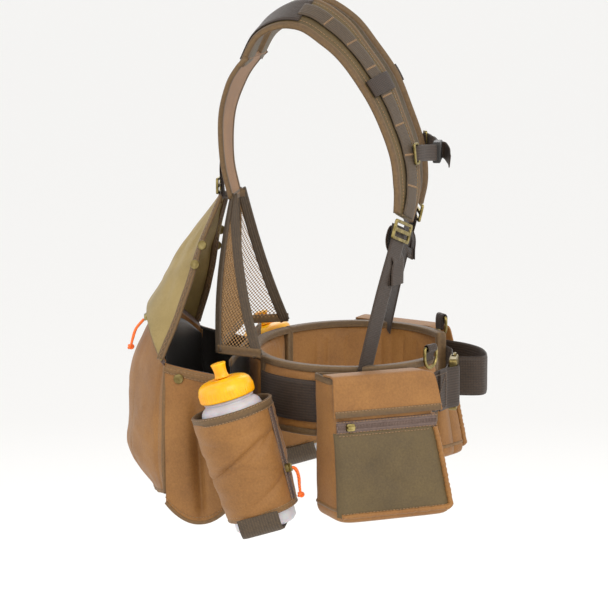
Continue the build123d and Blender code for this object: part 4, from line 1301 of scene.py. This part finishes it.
# ---- bottles and holsters ------------------------------------------------------------
@dataclass
class BottleSet:
    """A tilted water bottle in its cloth sleeve, with the webbing sling under it."""

    foot: tuple = (-72.0, -192.0, -146.0)
    tilt: float = 16.8
    radius: float = 37.0
    sleeve: tuple = (17.0, 148.0, 40.2, 46.6)
    zip_turn: float = -14.0
    slider_at: float = 62.0

    def axes(self) -> tuple[Array, Array, Array]:
        """The bottle's forward, sideways and upward directions on the right side."""
        lean = math.radians(self.tilt)
        ahead = np.array([math.cos(lean), 0.0, math.sin(lean)])
        up = np.array([-math.sin(lean), 0.0, math.cos(lean)])
        return ahead, np.cross(up, ahead), up

    def spot(self, radius: Array, turn: Array, height: Array) -> Array:
        """Points at a radius, an angle from straight ahead and a height on the axis."""
        ahead, across, up = self.axes()
        radius, turn, height = np.broadcast_arrays(radius, turn, height)
        return (np.array(self.foot) + ahead * (radius * np.cos(turn))[..., None]
                + across * (radius * np.sin(turn))[..., None] + up * height[..., None])

    def lathe(self, name: str, outline: Sequence, finish: str, body: str, which: Side,
              sides: int = 72, ribs: int = 0) -> Piece:
        """A turned piece of the right bottle, or its mirror image on the left."""
        foot = which.place(np.array(self.foot))
        rows = np.array(outline, dtype=float)
        grip = (rows[:, 0] > 32) & (rows[:, 1] > 162) & (rows[:, 1] < 172)
        turn = around(sides)
        ridge = 0.6 * np.clip(np.cos(turn * ribs) + 0.4, 0, 1) * grip[:, None] if ribs else None
        return turned(name, foot * MM, which.place(self.axes()[2]), rows * MM, finish, body,
                      sides, ridge * MM if ribs else None)

    def bottle(self, which: Side) -> None:
        """Blown bottle with a hollow neck, screw cap with ribs and push-pull spout."""
        tag = which.value
        r = self.radius
        shell = [(0.4, 2.5), (r - 9, 2.2), (r - 6.5, 0.2), (r - 3, 0.4), (r, 4), (r, 40), (r, 84),
                 (r - 0.9, 86), (r - 0.9, 92), (r, 94), (r, 143), (r - 0.5, 146.5), (r - 1.8, 149.6),
                 (r - 4.2, 152.4), (30.6, 154.2), (28.6, 155.2), (28.4, 156.2), (30, 157.2),
                 (30, 159), (28.8, 160), (26.8, 160.3), (26.8, 175.8), (25.5, 175.8), (25.5, 155),
                 (32.5, 150.5), (35.5, 145),
                 (35.5, 5), (33, 2.4), (0.4, 3.9)]
        body = self.lathe("bottle_shell_" + tag, shell, "bottle", "bottle_" + tag, which, 96)
        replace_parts(body, "bottle_" + tag)
        water = [(0.4, 4.4), (32.6, 4.4), (35.1, 6.4), (35.1, 120), (0.4, 120)]
        self.lathe("bottle_filling_" + tag, water, "bottle", "bottle_" + tag, which, 64)
        cap = [(27.2, 160.4), (32.4, 160.4), (33, 161.2), (33, 162.6), (33, 170.6), (32.9, 172.2),
               (32.2, 175.2), (30.6, 178.4), (27.6, 181.2), (22.5, 183.1), (15, 184.1), (12.4, 184.2),
               (11.6, 182.6), (5.6, 182.2), (5.6, 180.4), (26, 179), (27.2, 176)]
        lid = self.lathe("bottle_lid_" + tag, cap, "cap", "cap_" + tag, which, 320, 56)
        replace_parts(lid, "bottle_cap_" + tag)
        spout = [(0.3, 178), (5.3, 178), (5.3, 184.2), (8.8, 184.5), (9.2, 185.4), (8.2, 187),
                 (7.6, 190), (7.7, 195), (8.5, 199.4), (9.2, 201), (9, 202), (8.2, 202.5),
                 (3, 202.6), (2.6, 201), (0.3, 201)]
        top = self.lathe("bottle_nozzle_" + tag, spout, "cap", "spout_" + tag, which, 64)
        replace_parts(top, "bottle_spout_" + tag)

    def sleeve_radius(self, share: Array) -> Array:
        """Radius of the sleeve from its foot at 0 to its rim at 1."""
        return self.sleeve[2] + (self.sleeve[3] - self.sleeve[2]) * share

    def holster(self, which: Side) -> None:
        """Cloth sleeve: hanging creases, a bound rim, a hem and the short front zip."""
        tag = which.value
        low, high = self.sleeve[:2]
        rows, columns = 110, 170
        share = np.linspace(0, 1, rows)[:, None]
        turn = np.linspace(0, 2 * math.pi, columns)[None]
        noise = cloud(rows, columns, (7, 6), 41) + 0.5 * cloud(rows, columns, (18, 10), 42)
        blend = np.clip(turn / 0.7, 0, 1) * np.clip((2 * math.pi - turn) / 0.7, 0, 1)
        height = low + (high - low) * share + 0 * turn
        crease = np.zeros_like(noise)
        for level, tilt, deep, wide, face in ((0.56, 0.16, 6.2, 0.036, 4.6),
                                              (0.42, -0.10, 2.6, 0.040, 5.2),
                                              (0.24, 0.16, 4.6, 0.040, 5.5),
                                              (0.74, -0.06, 1.6, 0.050, 3.9),
                                              (0.66, 0.20, 3.2, 0.030, 5.6)):
            centre = level + tilt * np.sin(turn - face)
            near = 0.25 + 0.75 * np.clip(np.cos(turn - face), 0, 1)
            fold = np.clip((share - centre) / wide, -3, 3)
            crease += deep * near * np.exp(-fold ** 2) * np.where(fold > 0, 1.0, 0.75)
        ends = hump(share, 0.02, 0.98) ** 0.6
        off = np.angle(np.exp(1j * (turn - math.radians(self.zip_turn))))
        free = ends * (1 - 0.92 * np.exp(-(off / 0.26) ** 2))
        radius = self.sleeve_radius(share) + (1.8 * noise * blend - crease + 2.8) * free + 0.9
        radius = np.maximum(radius, self.radius + 2.4)
        points = which.place(self.spot(radius, turn, height))
        cloth = sheet_piece("holster_sleeve_" + tag, points * MM, 1.8 * MM, "tan")
        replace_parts(cloth, "holster_" + tag)
        inside = self.spot(radius[::2, ::2] - 1.2, turn[:, ::2], height[::2, ::2])
        which.sheet("holster_lining", inside, 0.8, "lining")
        ring = np.linspace(0, 2 * math.pi, 121)[:-1]
        up = self.axes()[2]
        for name, at, tall, thick, finish in (("rim", high - 5, 11, 3.4, "binding"),
                                              ("hem", low + 4, 8, 3.4, "edge")):
            around = self.sleeve_radius((at - low) / (high - low)) + 1.1
            path = which.place(self.spot(around, ring, at))
            swept(f"holster_{name}_{tag}", path * MM, which.place(up),
                  band_profile(tall, thick) * MM, finish, closed=True)
            for shift in (-tall / 2 + 1.4, tall / 2 - 1.4):
                line = which.place(self.spot(around + thick / 2, ring, at + shift))
                out = unit(line - which.place(self.spot(0, ring, at + shift)))
                stitches(f"holster_{name}_seam_{'ab'[shift > 0]}_{tag}", line * MM, out)
        self.zip(which)

    def zip(self, which: Side) -> None:
        """The sleeve's front zip, with its tape, coil and a row of stitches each side."""
        tag = which.value
        low, high = self.sleeve[:2]
        turn = math.radians(self.zip_turn)
        height = np.linspace(low + 9, high - 11, 60)
        radius = self.sleeve_radius((height - low) / (high - low))
        middle = which.place(self.spot(radius + 2.3, np.full(60, turn), height))
        beside = which.place(self.spot(radius + 2.3, np.full(60, turn + 0.02), height))
        side = unit(beside - middle)
        out = unit(middle - which.place(self.spot(np.zeros(60), np.zeros(60), height)))
        swept("holster_zip_tape_" + tag, middle * MM, side, band_profile(13, 1.4) * MM, "ziptape")
        coil, sides, outs = evenly(middle + out * 0.7, 1.9, side, out)
        stitch_cluster("holster_zip_coil_" + tag, coil * MM, unit(sides), unit(outs), "coil",
                       4.2, 0.75)
        for sign in (-1, 1):
            line = middle + side * 5.2 * sign + out * 0.6
            stitches(f"holster_zip_seam_{'ab'[sign > 0]}_{tag}", line * MM, out)

    def sling(self, which: Side) -> Piece:
        """50 mm webbing under the bottle's foot, from the bag's side to the sleeve."""
        ahead, across, up = self.axes()
        reach = 44.5
        outline = [(reach, 22), (reach, 12), (reach - 1.2, 4.5), (reach - 8, -1.8), (18, -2.4),
                   (0, -2.6)]
        line = smooth_line(np.array(outline + [(-y, z) for y, z in outline[-2::-1]]), 90)
        path = np.array(self.foot) + across * line[:, :1] + up * line[:, 1:]
        return which.band("bottle_sling", path, ahead, band_profile(50, 2.0), "daisy")

    def build(self) -> None:
        """Builds both bottles with their holsters."""
        for which in Side:
            self.bottle(which)
            self.holster(which)
            sling = self.sling(which)
        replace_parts(sling, "bottle_slings")


# ---- hip pouches ---------------------------------------------------------------------
@dataclass
class HipPouch:
    """Pouch on a belt wing: tan body, brown zip, olive front pocket and a hinged flap."""

    origin: tuple = (55.4, -171.5, 0.0)
    turn: float = 30.0
    top: float = 36.0
    low: float = -130.0
    rear: float = -68.0
    front_top: float = 54.0
    front_low: float = 83.0
    depth_top: float = 24.0
    depth_low: float = 46.0
    zip_z: float = -19.0

    def world(self, points: Array) -> Array:
        """Points of the pouch's own axes, in the vest's frame."""
        angle = math.radians(self.turn)
        x, y, z = points[..., 0], points[..., 1], points[..., 2]
        return xyz(self.origin[0] + x * math.cos(angle) - y * math.sin(angle),
                   self.origin[1] + x * math.sin(angle) + y * math.cos(angle), z)

    def turned(self, direction: Sequence) -> Array:
        """A direction of the pouch's own axes, in the vest's frame."""
        return unit(self.world(np.array([direction], dtype=float))[0] - np.array(self.origin))

    def share(self, z: Array) -> Array:
        """0 at the pouch's top and 1 at its bottom."""
        return (self.top - z) / (self.top - self.low)

    def face_y(self, z: Array) -> Array:
        """How far out the front face lies at a height."""
        return -(self.depth_top + (self.depth_low - self.depth_top) * self.share(z))

    def near_zip(self, z: Array) -> Array:
        """1 along the front zip, falling to 0 about 20 mm above and below it."""
        return np.exp(-((z - self.zip_z) / 12) ** 2)

    def front_x(self, z: Array) -> Array:
        """Forward end of the pouch at a height."""
        share = np.clip(self.share(z), 0, 1)
        return self.front_top + (self.front_low - self.front_top) * share

    def back_y(self, x: Array, z: Array) -> Array:
        """Local y of the belt's face behind the pouch, found along the belt's oval."""
        angles = np.radians(np.linspace(18, 125, 200))
        belt = Belt()
        face = 18.5
        bx = belt.centre_x + (belt.half_long + face) * np.cos(angles) - self.origin[0]
        by = -(belt.half_wide + face) * np.sin(angles) - self.origin[1]
        turn = math.radians(self.turn)
        local_x = bx * math.cos(turn) + by * math.sin(turn)
        local_y = -bx * math.sin(turn) + by * math.cos(turn)
        order = np.argsort(local_x)
        return np.interp(x, local_x[order], local_y[order]) + 0 * z

    def shell(self, which: Side) -> None:
        """Body of the pouch: rings of a rounded plan from the top to the bulging bottom."""
        rows, columns = 96, 168
        z = np.linspace(self.top, self.low, rows)[:, None]
        turn = np.linspace(0, 2 * math.pi, columns)[None]
        corner = np.sign(np.cos(turn)) * np.abs(np.cos(turn)) ** 0.32
        depth = np.sign(np.sin(turn)) * np.abs(np.sin(turn)) ** 0.32
        middle_x = (self.front_x(z) + self.rear) / 2
        half_x = (self.front_x(z) - self.rear) / 2
        close = np.clip((z - self.low) / 12, 0, 1)
        shrink = 1 - 0.075 * (1 - np.sqrt(1 - (1 - close) ** 2))
        x = middle_x + corner * (half_x - 0.8) * shrink
        front = self.face_y(z) * shrink + 0.8
        back = self.back_y(x, z)
        y = front + (back - front) * (0.5 - 0.5 * depth)
        outside = np.clip(depth, 0, 1)
        folds = (1.9 * cloud(rows, columns, (6, 8), 51) + 0.8 * cloud(rows, columns, (14, 18), 52))
        seam = np.clip(turn / 0.4, 0, 1) * np.clip((2 * math.pi - turn) / 0.4, 0, 1)
        belly = 3.0 * hump(self.share(z)) ** 1.2
        push = folds * seam * (0.35 + 0.65 * outside) + belly * outside
        push = push * np.clip(close + 0.2, 0, 1)
        push = push * (1 - 0.9 * outside * self.near_zip(z))
        y = y - push * (0.25 + 0.75 * outside)
        x = x + corner * 0.35 * folds * seam
        points = which.place(self.world(xyz(x, y, z)))
        body = sheet_piece("pouch_body_" + which.value, points * MM, 2.0 * MM, "tan")
        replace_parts(body, "hip_pouch_" + which.value)
        inner = xyz(x * 0.955, back - 3 + (y - back) * 0.86, np.maximum(z, self.low + 3))
        which.sheet("pouch_lining", self.world(inner), 1.0, "lining")
        self.bottom(which, xyz(x[-1], y[-1], self.low + 0.4))
        ring = xyz(x[1], y[1], x[1] * 0 + self.top - 2.5)[:-1]
        which.band("pouch_rim", self.world(ring), (0, 0, 1), band_profile(8, 3.6), "binding",
                   closed=True)
        foot = xyz(x[-9], y[-9], z[-9])[:-1]
        which.band("pouch_foot_piping", self.world(foot), (0, 0, 1), superellipse(4.6, 4.6, 2, 10),
                   "edge", closed=True)

    def bottom(self, which: Side, rim: Array) -> None:
        """Bottom panel: the rim drawn in to its middle, with a little sag."""
        inward = np.linspace(0, 0.96, 16)[:, None, None]
        centre = rim[:-1].mean(axis=0)
        points = rim[None] * (1 - inward) + centre * inward
        points[..., 2] -= 2.0 * np.sin(math.pi * inward[..., 0] / 2)
        which.sheet("pouch_bottom", self.world(points), 1.8, "tan")

    def face(self, x: Array, z: Array, out: float) -> Array:
        """Points on the sloping front face, `out` beyond it."""
        belly = 3.0 * hump(self.share(z)) ** 1.2
        belly = belly * (1 - 0.9 * self.near_zip(z))
        return xyz(x, self.face_y(z) - belly - out, z)

    def pocket(self, which: Side) -> None:
        """Olive front pocket under the zip: a taut panel with seams and a gathered welt."""
        rows, columns = 70, 96
        z = np.linspace(-25.5, -123, rows)[:, None]
        across = np.linspace(0, 1, columns)[None]
        x = self.rear - 0.5 + (self.front_x(z) - 7 - self.rear) * across
        lift = 1.0 + 3.2 * np.sin(math.pi * across) ** 0.7 * np.sin(
            math.pi * np.linspace(0, 1, rows)[:, None]) ** 0.7
        folds = (1.4 * cloud(rows, columns, (5, 6), 61) + 0.6 * cloud(rows, columns, (13, 16), 62))
        quiet = hump(across, 0.02, 0.98) ** 0.5
        wrap = 1.5 * np.clip((across - 0.95) / 0.05, 0, 1) + 5.0 * np.clip(
            (0.05 - across) / 0.05, 0, 1) ** 2
        local = self.face(x, z, 0.0)
        local[..., 1] -= lift + folds * quiet * 0.7 - wrap
        points = which.place(self.world(local))
        # The pocket takes the olive darkened as painted shade.
        panel = sheet_piece("pouch_front_" + which.value, points * MM, 1.8 * MM, "shaded olive")
        if which is Side.LEFT:
            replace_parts(panel, "pouch_pockets")
        out = which.place(self.turned((0, -1, 0.13)))
        for row in (2, rows - 4):
            line = points[row, 4:-6] + out * 1.4
            stitches(f"pouch_front_seam_{row}_{which.value}", line * MM, out)
        height = np.linspace(-27, -119, 60)
        side = self.face(self.front_x(height) - 4.5, height, 0.5)
        foot = np.linspace(side[-1, 0] - 4, self.rear + 3, 60)
        under = self.face(foot, foot * 0 - 122.0, 0.5)
        welt = smooth_line(np.concatenate([side, under]), 260)
        ripple = 0.05 * np.sin(np.linspace(0, 190, 260))
        gather = 1 + ripple + 0.12 * cloud(260, 2, (70, 1), 63)[:, 0]
        profile = superellipse(7.5, 6.5, 2, 16)[None] * gather[:, None, None]
        swept("pouch_welt_" + which.value, which.place(self.world(welt)) * MM, out,
              profile * MM, "tan")

    def zip(self, which: Side) -> None:
        """The front pocket's zip tape and coil, in the plane that its slider runs in."""
        x = np.linspace(self.rear + 2, self.front_top + 8, 80)
        slope = math.atan2(self.depth_low - self.depth_top, self.top - self.low)
        out = np.array([0.0, -math.cos(slope), math.sin(slope)])
        base = xyz(x, self.face_y(self.zip_z), self.zip_z)
        middle = self.world(base + out * 2.2)
        up = self.turned((0, math.sin(slope), math.cos(slope)))
        away = self.turned(out)
        tape = which.band("pouch_zip_tape", middle, up, band_profile(15, 2.4), "ziptape")
        if which is Side.LEFT:
            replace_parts(tape, "pouch_zips")
        coil = evenly(middle + away * 1.1, 2.0)[0]
        stitch_cluster("pouch_zip_coil_" + which.value, which.place(coil) * MM,
                       which.place(np.tile(up, (len(coil), 1))),
                       which.place(np.tile(away, (len(coil), 1))), "coil", 4.6, 0.85)
        for shift in (-6.2, 6.2):
            line = which.place(middle + up * shift + away * 1.1)
            stitches(f"pouch_zip_seam_{'ab'[shift > 0]}_{which.value}", line * MM,
                     which.place(away))

    def flap(self, which: Side) -> None:
        """Flap over the top: one cloth bent over the front edge, bound along its lower edge."""
        tag, body = which.value, "flap_" + which.value
        profile = np.array([(-2.0, 38.6), (-10, 39.4), (-20, 40.0), (-27.6, 39.4), (-30.6, 35.4),
                            (-31.4, 24), (-32.6, 10), (-34.2, -7)])
        rows, columns = 60, 90
        line = smooth_line(profile, rows)
        down = np.linspace(0, 1, rows)[:, None]
        across = np.linspace(0, 1, columns)[None]
        cut = np.clip((down - 0.34) / 0.66, 0, 1)
        front = self.front_top + 1 + 15 * cut ** 0.8
        x = (self.rear - 2.0) + (front - self.rear + 2.0) * across
        droop = 2.5 * np.clip((across - 0.9) / 0.1, 0, 1) ** 2 * (1 - cut)
        waves = 1.0 * cloud(rows, columns, (4, 6), 71) * np.sin(math.pi * down * 0.9 + 0.2)
        y = line[:, :1] - waves * np.clip(down * 3 - 1, 0, 1) - 1.4 * np.sin(math.pi * across) * cut
        z = line[:, 1:] - droop + waves * 0.5 * np.clip(1 - down * 3, 0, 1)
        local = xyz(x, y, z)
        points = which.place(self.world(local))
        cloth = sheet_piece("pouch_flap_cover_" + tag, points * MM, 2.2 * MM, "tan", body)
        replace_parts(cloth, "pouch_flap_" + tag)
        normals = surface_normals(local)
        normals = normals * np.sign(-normals[30, 45, 1])
        inset = 3
        edge = local[-inset, 1:-1]
        aways = normals[-inset, 1:-1]
        along = unit(np.gradient(edge, axis=0))
        sides = unit(np.cross(along, aways))
        which.band("pouch_flap_binding", self.world(edge), self.directions(sides),
                   band_profile(8.5, 3.8), "binding", body)
        seam = edge + sides * 3.0 * self.inward_sign(edge, sides) + aways * 2.1
        which.seam("pouch_flap_seam", self.world(seam), self.directions(aways), "thread", body=body)

    def directions(self, vectors: Array) -> Array:
        """Directions of the pouch's own axes, in the vest's frame."""
        return self.world(vectors) - np.array([self.origin[0], self.origin[1], 0.0])

    def inward_sign(self, edge: Array, sides: Array) -> float:
        """1 or -1, so that `sides` points towards the middle of an edge loop."""
        toward = np.sum((edge.mean(axis=0) - edge) * sides, axis=1)
        return 1.0 if toward.sum() > 0 else -1.0

    def build(self) -> None:
        """Builds both pouches."""
        for which in Side:
            self.shell(which)
            self.zip(which)
            self.pocket(which)
            self.flap(which)


# ---- lower straps and chest strap ----------------------------------------------------
@dataclass
class LowerStraps:
    """38 mm webbing from each ladder lock down to the belt, with a hanging folded tail."""

    lock: tuple = (79.0, -124.0, 199.0)
    foot: tuple = (42.0, -159.0, 45.0)
    strap_end: tuple = (16.0, 38.0, 0.0)

    def frame(self) -> tuple[Array, Array, Array]:
        """Run, width direction and outward direction of the right lower webbing."""
        run = np.array(self.foot) - np.array(self.lock)
        across = np.array(self.strap_end)
        across = unit(across - run * (across @ run) / (run @ run))
        return run, across, unit(np.cross(across, run))

    def build(self) -> None:
        """Builds both webbings and their tails."""
        run, across, out = self.frame()
        lock = np.array(self.lock)
        down = unit(run)
        path = [lock + out * 3.4 - down * 6, lock + out * 2.6, lock + down * 9 + out * 0.2,
                lock + run * 0.15, lock + run * 0.5 + out * 1.0, lock + run * 0.85,
                lock + run * 1.0 - out * 0.5, lock + run * 1.07 - out * 1.4]
        tail = [lock + out * 1.4 + down * 4, lock + out * 3.6 - down * 2.5,
                lock + out * 6.6 - down * 1.5, lock + out * 8.2 + down * 6,
                lock + out * 7.4 + down * 18 + [1, 1, 0], lock + out * 6.6 + [3, 3, -36],
                lock + out * 6.4 + [2.5, 3, -52], lock + out * 6.0 + [2, 3, -66]]
        fold = [lock + out * 9.4 + [2.6, 3, -53], lock + out * 9.0 + [2.2, 3, -60],
                lock + out * 8.8 + [2, 3, -66.5]]
        for which in Side:
            web = which.band("lower_webbing", evenly(smooth_line(path, 120), 2.5)[0], across,
                             band_profile(38, 2.0), "webbing")
            hang = which.band("lower_tail", evenly(smooth_line(tail, 120), 1.8)[0], across,
                              band_profile(34, 1.8), "webbing")
            which.band("lower_tail_fold", smooth_line(fold, 16), across, band_profile(34, 2.4),
                       "webbing")
            for shift in (-2.0, 2.0):
                row = np.array(fold[1]) + out * 1.4 + across * np.linspace(-15, 15, 2)[:, None]
                which.seam(f"lower_tail_seam_{'ab'[shift > 0]}", row + [0, 0, shift], out,
                           "dark thread")
        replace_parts(web, "lower_webbings")
        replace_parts(hang, "webbing_tails")


@dataclass
class ChestStrap:
    """20 mm webbing between the straps' rings, with a moulded side-release buckle."""

    half: float = 10.0
    thick: float = 1.7

    def band(self, name: str, points: Sequence) -> Piece:
        """One length of the chest webbing, its width close to upright."""
        path = evenly(smooth_line(points, 120), 1.5)[0]
        return swept(name, path * MM, (0, 0.06, 1), band_profile(2 * self.half, self.thick) * MM,
                     "webbing")

    def build(self) -> None:
        """Builds the three lengths of webbing and the loops round the rings."""
        right = [(96.2, -84.0, 288), (98.6, -80.5, 288), (103, -67, 287), (108, -52, 286),
                 (115.4, -34, 284.4), (116, -31.5, 284.2)]
        left = [(96.2, 84.0, 288), (98.6, 80.5, 288), (104, 65, 286.5), (109, 52, 286),
                (115, 24, 284), (116.6, 17, 284)]
        tail = [(116.0, 12, 284), (120, 13, 284), (123.5, 11, 283), (127, 5, 280),
                (129.5, -1, 276), (131, -8.5, 271.5)]
        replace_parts(self.band("chest_webbing_right", right), "sternum_webbings")
        self.band("chest_webbing_left", left)
        self.band("chest_webbing_tail", tail)
        for which in Side:
            loop = [(96.0, -81.6, 288), (93.2, -82.6, 288), (91.0, -86.0, 288),
                    (92.8, -88.4, 288), (96.6, -87.4, 288), (100.2, -80.0, 288),
                    (103.6, -70.0, 287.4)]
            path = evenly(smooth_line(loop, 80), 1.2)[0]
            which.band("chest_loop", path, (0, 0, 1), band_profile(2 * self.half - 1, 1.5),
                       "webbing")


# ---- fittings and cords --------------------------------------------------------------
@dataclass
class Fittings:
    """Metal and plastic pieces that keep their machined shape, with real finishes."""

    slots: dict = field(default_factory=lambda: {
        "bronze_alloy": "bronze", "brass_plated": "brass", "acetal_black": "acetal"})
    tab_turn: float = 40.0

    def tabs(self) -> None:
        """Folded brown webbing that holds each D-ring against the belt."""
        angle = math.radians(self.tab_turn)
        belt = Belt()
        long, wide = belt.half_long, belt.half_wide
        centre = belt.plan(np.array([self.tab_turn]), 19.5)[0]
        along = unit(np.array([long * math.sin(angle), wide * math.cos(angle), 0.0]))
        out = unit(np.array([math.cos(angle) * wide, -math.sin(angle) * long, 0.0]))
        base = np.array([centre[0], centre[1], 58.0])
        loop = [base - out * 3.6 + [0, 0, -16], base - out * 3.9 + [0, 0, -6],
                base - out * 3.2 + [0, 0, 0.5], base - out * 1.6 + [0, 0, 3.3],
                base + out * 1.6 + [0, 0, 3.4], base + out * 3.4 + [0, 0, 0.5],
                base + out * 3.2 + [0, 0, -3.4], base - out * 0.6 + [0, 0, -6.6],
                base - out * 2.2 + [0, 0, -16]]
        for which in Side:
            path = evenly(smooth_line(loop, 90), 1.0)[0]
            tab = which.band("ring_tab", path, along, band_profile(18, 1.5), "webbing")
        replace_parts(tab, "d_ring_tabs")

    def build(self) -> None:
        """Gives each kept node its finish and folds the tabs."""
        for slot, finish in self.slots.items():
            for piece in bpy.data.objects:
                for place in piece.material_slots if piece.type == "MESH" else ():
                    if place.material and place.material.name.split(".")[0] == slot:
                        dark = "snap" in piece.name
                        place.material = Palette.get("bronze" if dark else finish)
        self.tabs()


@dataclass
class PullCord:
    """A limp orange cord on a zip slider, hanging free and ending in a knot."""

    name: str
    node: str
    body: str
    route: list
    radius: float = 1.6

    def knot(self, tag: str) -> Piece:
        """Overhand knot: a trefoil of the same cord round the cord's end."""
        turn = around(90)
        ring = np.stack([(2.0 + 1.15 * np.cos(3 * turn)) * np.cos(2 * turn),
                         (2.0 + 1.15 * np.cos(3 * turn)) * np.sin(2 * turn),
                         1.7 * np.sin(3 * turn)], axis=1)
        end = np.array(self.route[-1])
        path = (ring + end) * MM
        along = unit(np.roll(path, -1, axis=0) - np.roll(path, 1, axis=0))
        side = unit(np.cross(along, [0.31, 0.52, 0.79]))
        return swept("knot_" + tag, path, side, superellipse(3.0, 3.0, 2, 12) * MM, "cord",
                     self.body, closed=True)

    def build(self) -> None:
        route = smooth_line(np.array(self.route), 40)
        apart = np.sin(math.pi * np.linspace(0, 1, 40)) ** 0.6 * self.radius * 1.25
        aside = unit(np.cross(np.gradient(route, axis=0), [0.6, 0.35, 0.2]))
        strand = route + aside * apart[:, None]
        twin = swept(self.name + "_strand", strand * MM, aside,
                     superellipse(2.8, 2.8, 2, 12) * MM, "cord", self.body)
        curve = bpy.data.curves.new(self.name, "CURVE")
        curve.dimensions = "3D"
        curve.bevel_depth = self.radius * MM
        curve.bevel_resolution = 5
        curve.resolution_u = 10
        spline = curve.splines.new("NURBS")
        spline.points.add(len(self.route) - 1)
        for point, spot in zip(spline.points, self.route):
            point.co = (*(np.array(spot) * MM), 1.0)
        spline.order_u = 3
        spline.use_endpoint_u = True
        cord = add_object(self.name, curve)
        curve.materials.append(Palette.get("cord"))
        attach(cord, self.body)
        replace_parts(cord, self.node)
        knot = self.knot(self.name)


# ---- scene ---------------------------------------------------------------------------
@dataclass
class Studio:
    """Camera, floor and soft lights."""

    azimuth: float = 6.5
    elevation: float = 9.0
    distance: float = 3.0
    target: tuple = (-0.050, 0.0, 0.0896)
    lens: float = 142.0
    floor_z: float = -0.90

    def camera(self) -> None:
        """Adds the camera and makes it the scene's own."""
        data = bpy.data.cameras.new("camera")
        data.lens = self.lens
        data.sensor_width = 36.0
        data.clip_end = 400.0
        camera = add_object("camera", data)
        turn, rise = math.radians(self.azimuth), math.radians(self.elevation)
        away = Vector((math.sin(turn) * math.cos(rise), -math.cos(turn) * math.cos(rise),
                       math.sin(rise)))
        camera.location = Vector(self.target) + away * self.distance
        camera.rotation_euler = away.to_track_quat("Z", "Y").to_euler()
        bpy.context.scene.camera = camera

    def light(self, name: str, place: Sequence, size: float, power: float, tint: str) -> None:
        """Adds one square area light that faces the vest.

        Args:
            name: Light name.
            place: Position in metres.
            size: Side length in metres.
            power: Watts.
            tint: Colour as #rrggbb.
        """
        data = bpy.data.lights.new(name, "AREA")
        data.shape = "SQUARE"
        data.size = size
        data.energy = power
        data.color = linear(tint)[:3]
        lamp = add_object(name, data)
        lamp.location = place
        lamp.rotation_euler = (Vector(place) - Vector((-0.05, 0, 0.1))).to_track_quat(
            "Z", "Y").to_euler()

    def floor(self) -> None:
        """Adds a pale floor far below the vest, which is worn and never stands."""
        material, tree = new_material("studio floor, matt paint")
        finish_surface(tree, {"Base Color": linear("#f8f7f5"), "Roughness": 0.9})
        mesh = bpy.data.meshes.new("floor")
        reach = 90.0
        mesh.from_pydata([(-reach, -reach, self.floor_z), (reach, -reach, self.floor_z),
                          (reach, reach, self.floor_z), (-reach, reach, self.floor_z)], [],
                         [(0, 1, 2, 3)])
        mesh.materials.append(material)
        floor = add_object("floor", mesh)

    def build(self) -> None:
        """Builds the whole studio."""
        self.camera()
        self.light("key", (0.9, -2.4, 1.9), 1.6, 38.0, "#fff6ea")
        self.light("front_fill", (2.2, -0.9, 0.6), 1.8, 11.0, "#fff9f2")
        self.light("rear_fill", (-2.2, -1.4, 0.8), 1.8, 10.0, "#f4f5ff")
        self.light("far_fill", (-0.4, 2.6, 1.6), 2.0, 18.0, "#ffffff")
        self.floor()
        world = bpy.data.worlds.new("studio")
        world.use_nodes = True
        back = world.node_tree.nodes["Background"]
        back.inputs["Color"].default_value = linear("#ffffff")
        back.inputs["Strength"].default_value = 0.97
        bpy.context.scene.world = world
        bpy.context.scene.view_settings.view_transform = "Standard"


CORDS = [
    PullCord("rear_zip_cord", "rear_pull_cord", "rear_zip",
             [(-243.25, -54.55, 75.83), (-249.25, -55.75, 69.83), (-254.25, -58.15, 62.33),
              (-257.25, -57.55, 52.33), (-259.25, -60.05, 41.83)]),
]


def holster_route() -> list:
    """Route of the right holster's cord, from its slider's bridge."""
    bottle = BottleSet()
    ahead, across, up = bottle.axes()
    turn = math.radians(bottle.zip_turn)
    low, high, foot, top = 17.0, 148.0, 39.5, 46.0
    slope = (top - foot) / (high - low)
    out = ahead * math.cos(turn) + across * math.sin(turn)
    run = unit(up + out * slope)
    radius = foot + slope * (bottle.slider_at - low) + 2.5 + 0.8
    spot = np.array(bottle.foot) + up * bottle.slider_at + out * radius
    away = np.cross(np.cross(run, out), run)
    start = spot + away * 8.2
    return [start, start + away * 5 + [0, 0, -4], start + away * 7 + [1, -1, -12.5],
            start + away * 6.5 + [2, 0.5, -23], start + away * 6.5 + [4, -1, -34]]


def main() -> None:
    """Builds every sub-assembly in order."""
    for assembly in (Belt(), ShoulderStraps(), BackPanel(), GameBag(), BottleSet(), HipPouch(),
                     LowerStraps(), ChestStrap(), Fittings()):
        assembly.build()
        LOG.info("%s built", type(assembly).__name__)
    cords = list(CORDS)
    for side in Side:
        cords.append(PullCord("holster_cord_" + side.value, "holster_pull_" + side.value,
                              "holster_zip_" + side.value,
                              [tuple(side.place(p)) for p in holster_route()]))
    for cord in cords:
        cord.build()
        LOG.info("%s built", cord.name)
    Studio().build()


if __name__ == "__main__":
    logging.basicConfig(level=logging.INFO, format="%(message)s")
    main()
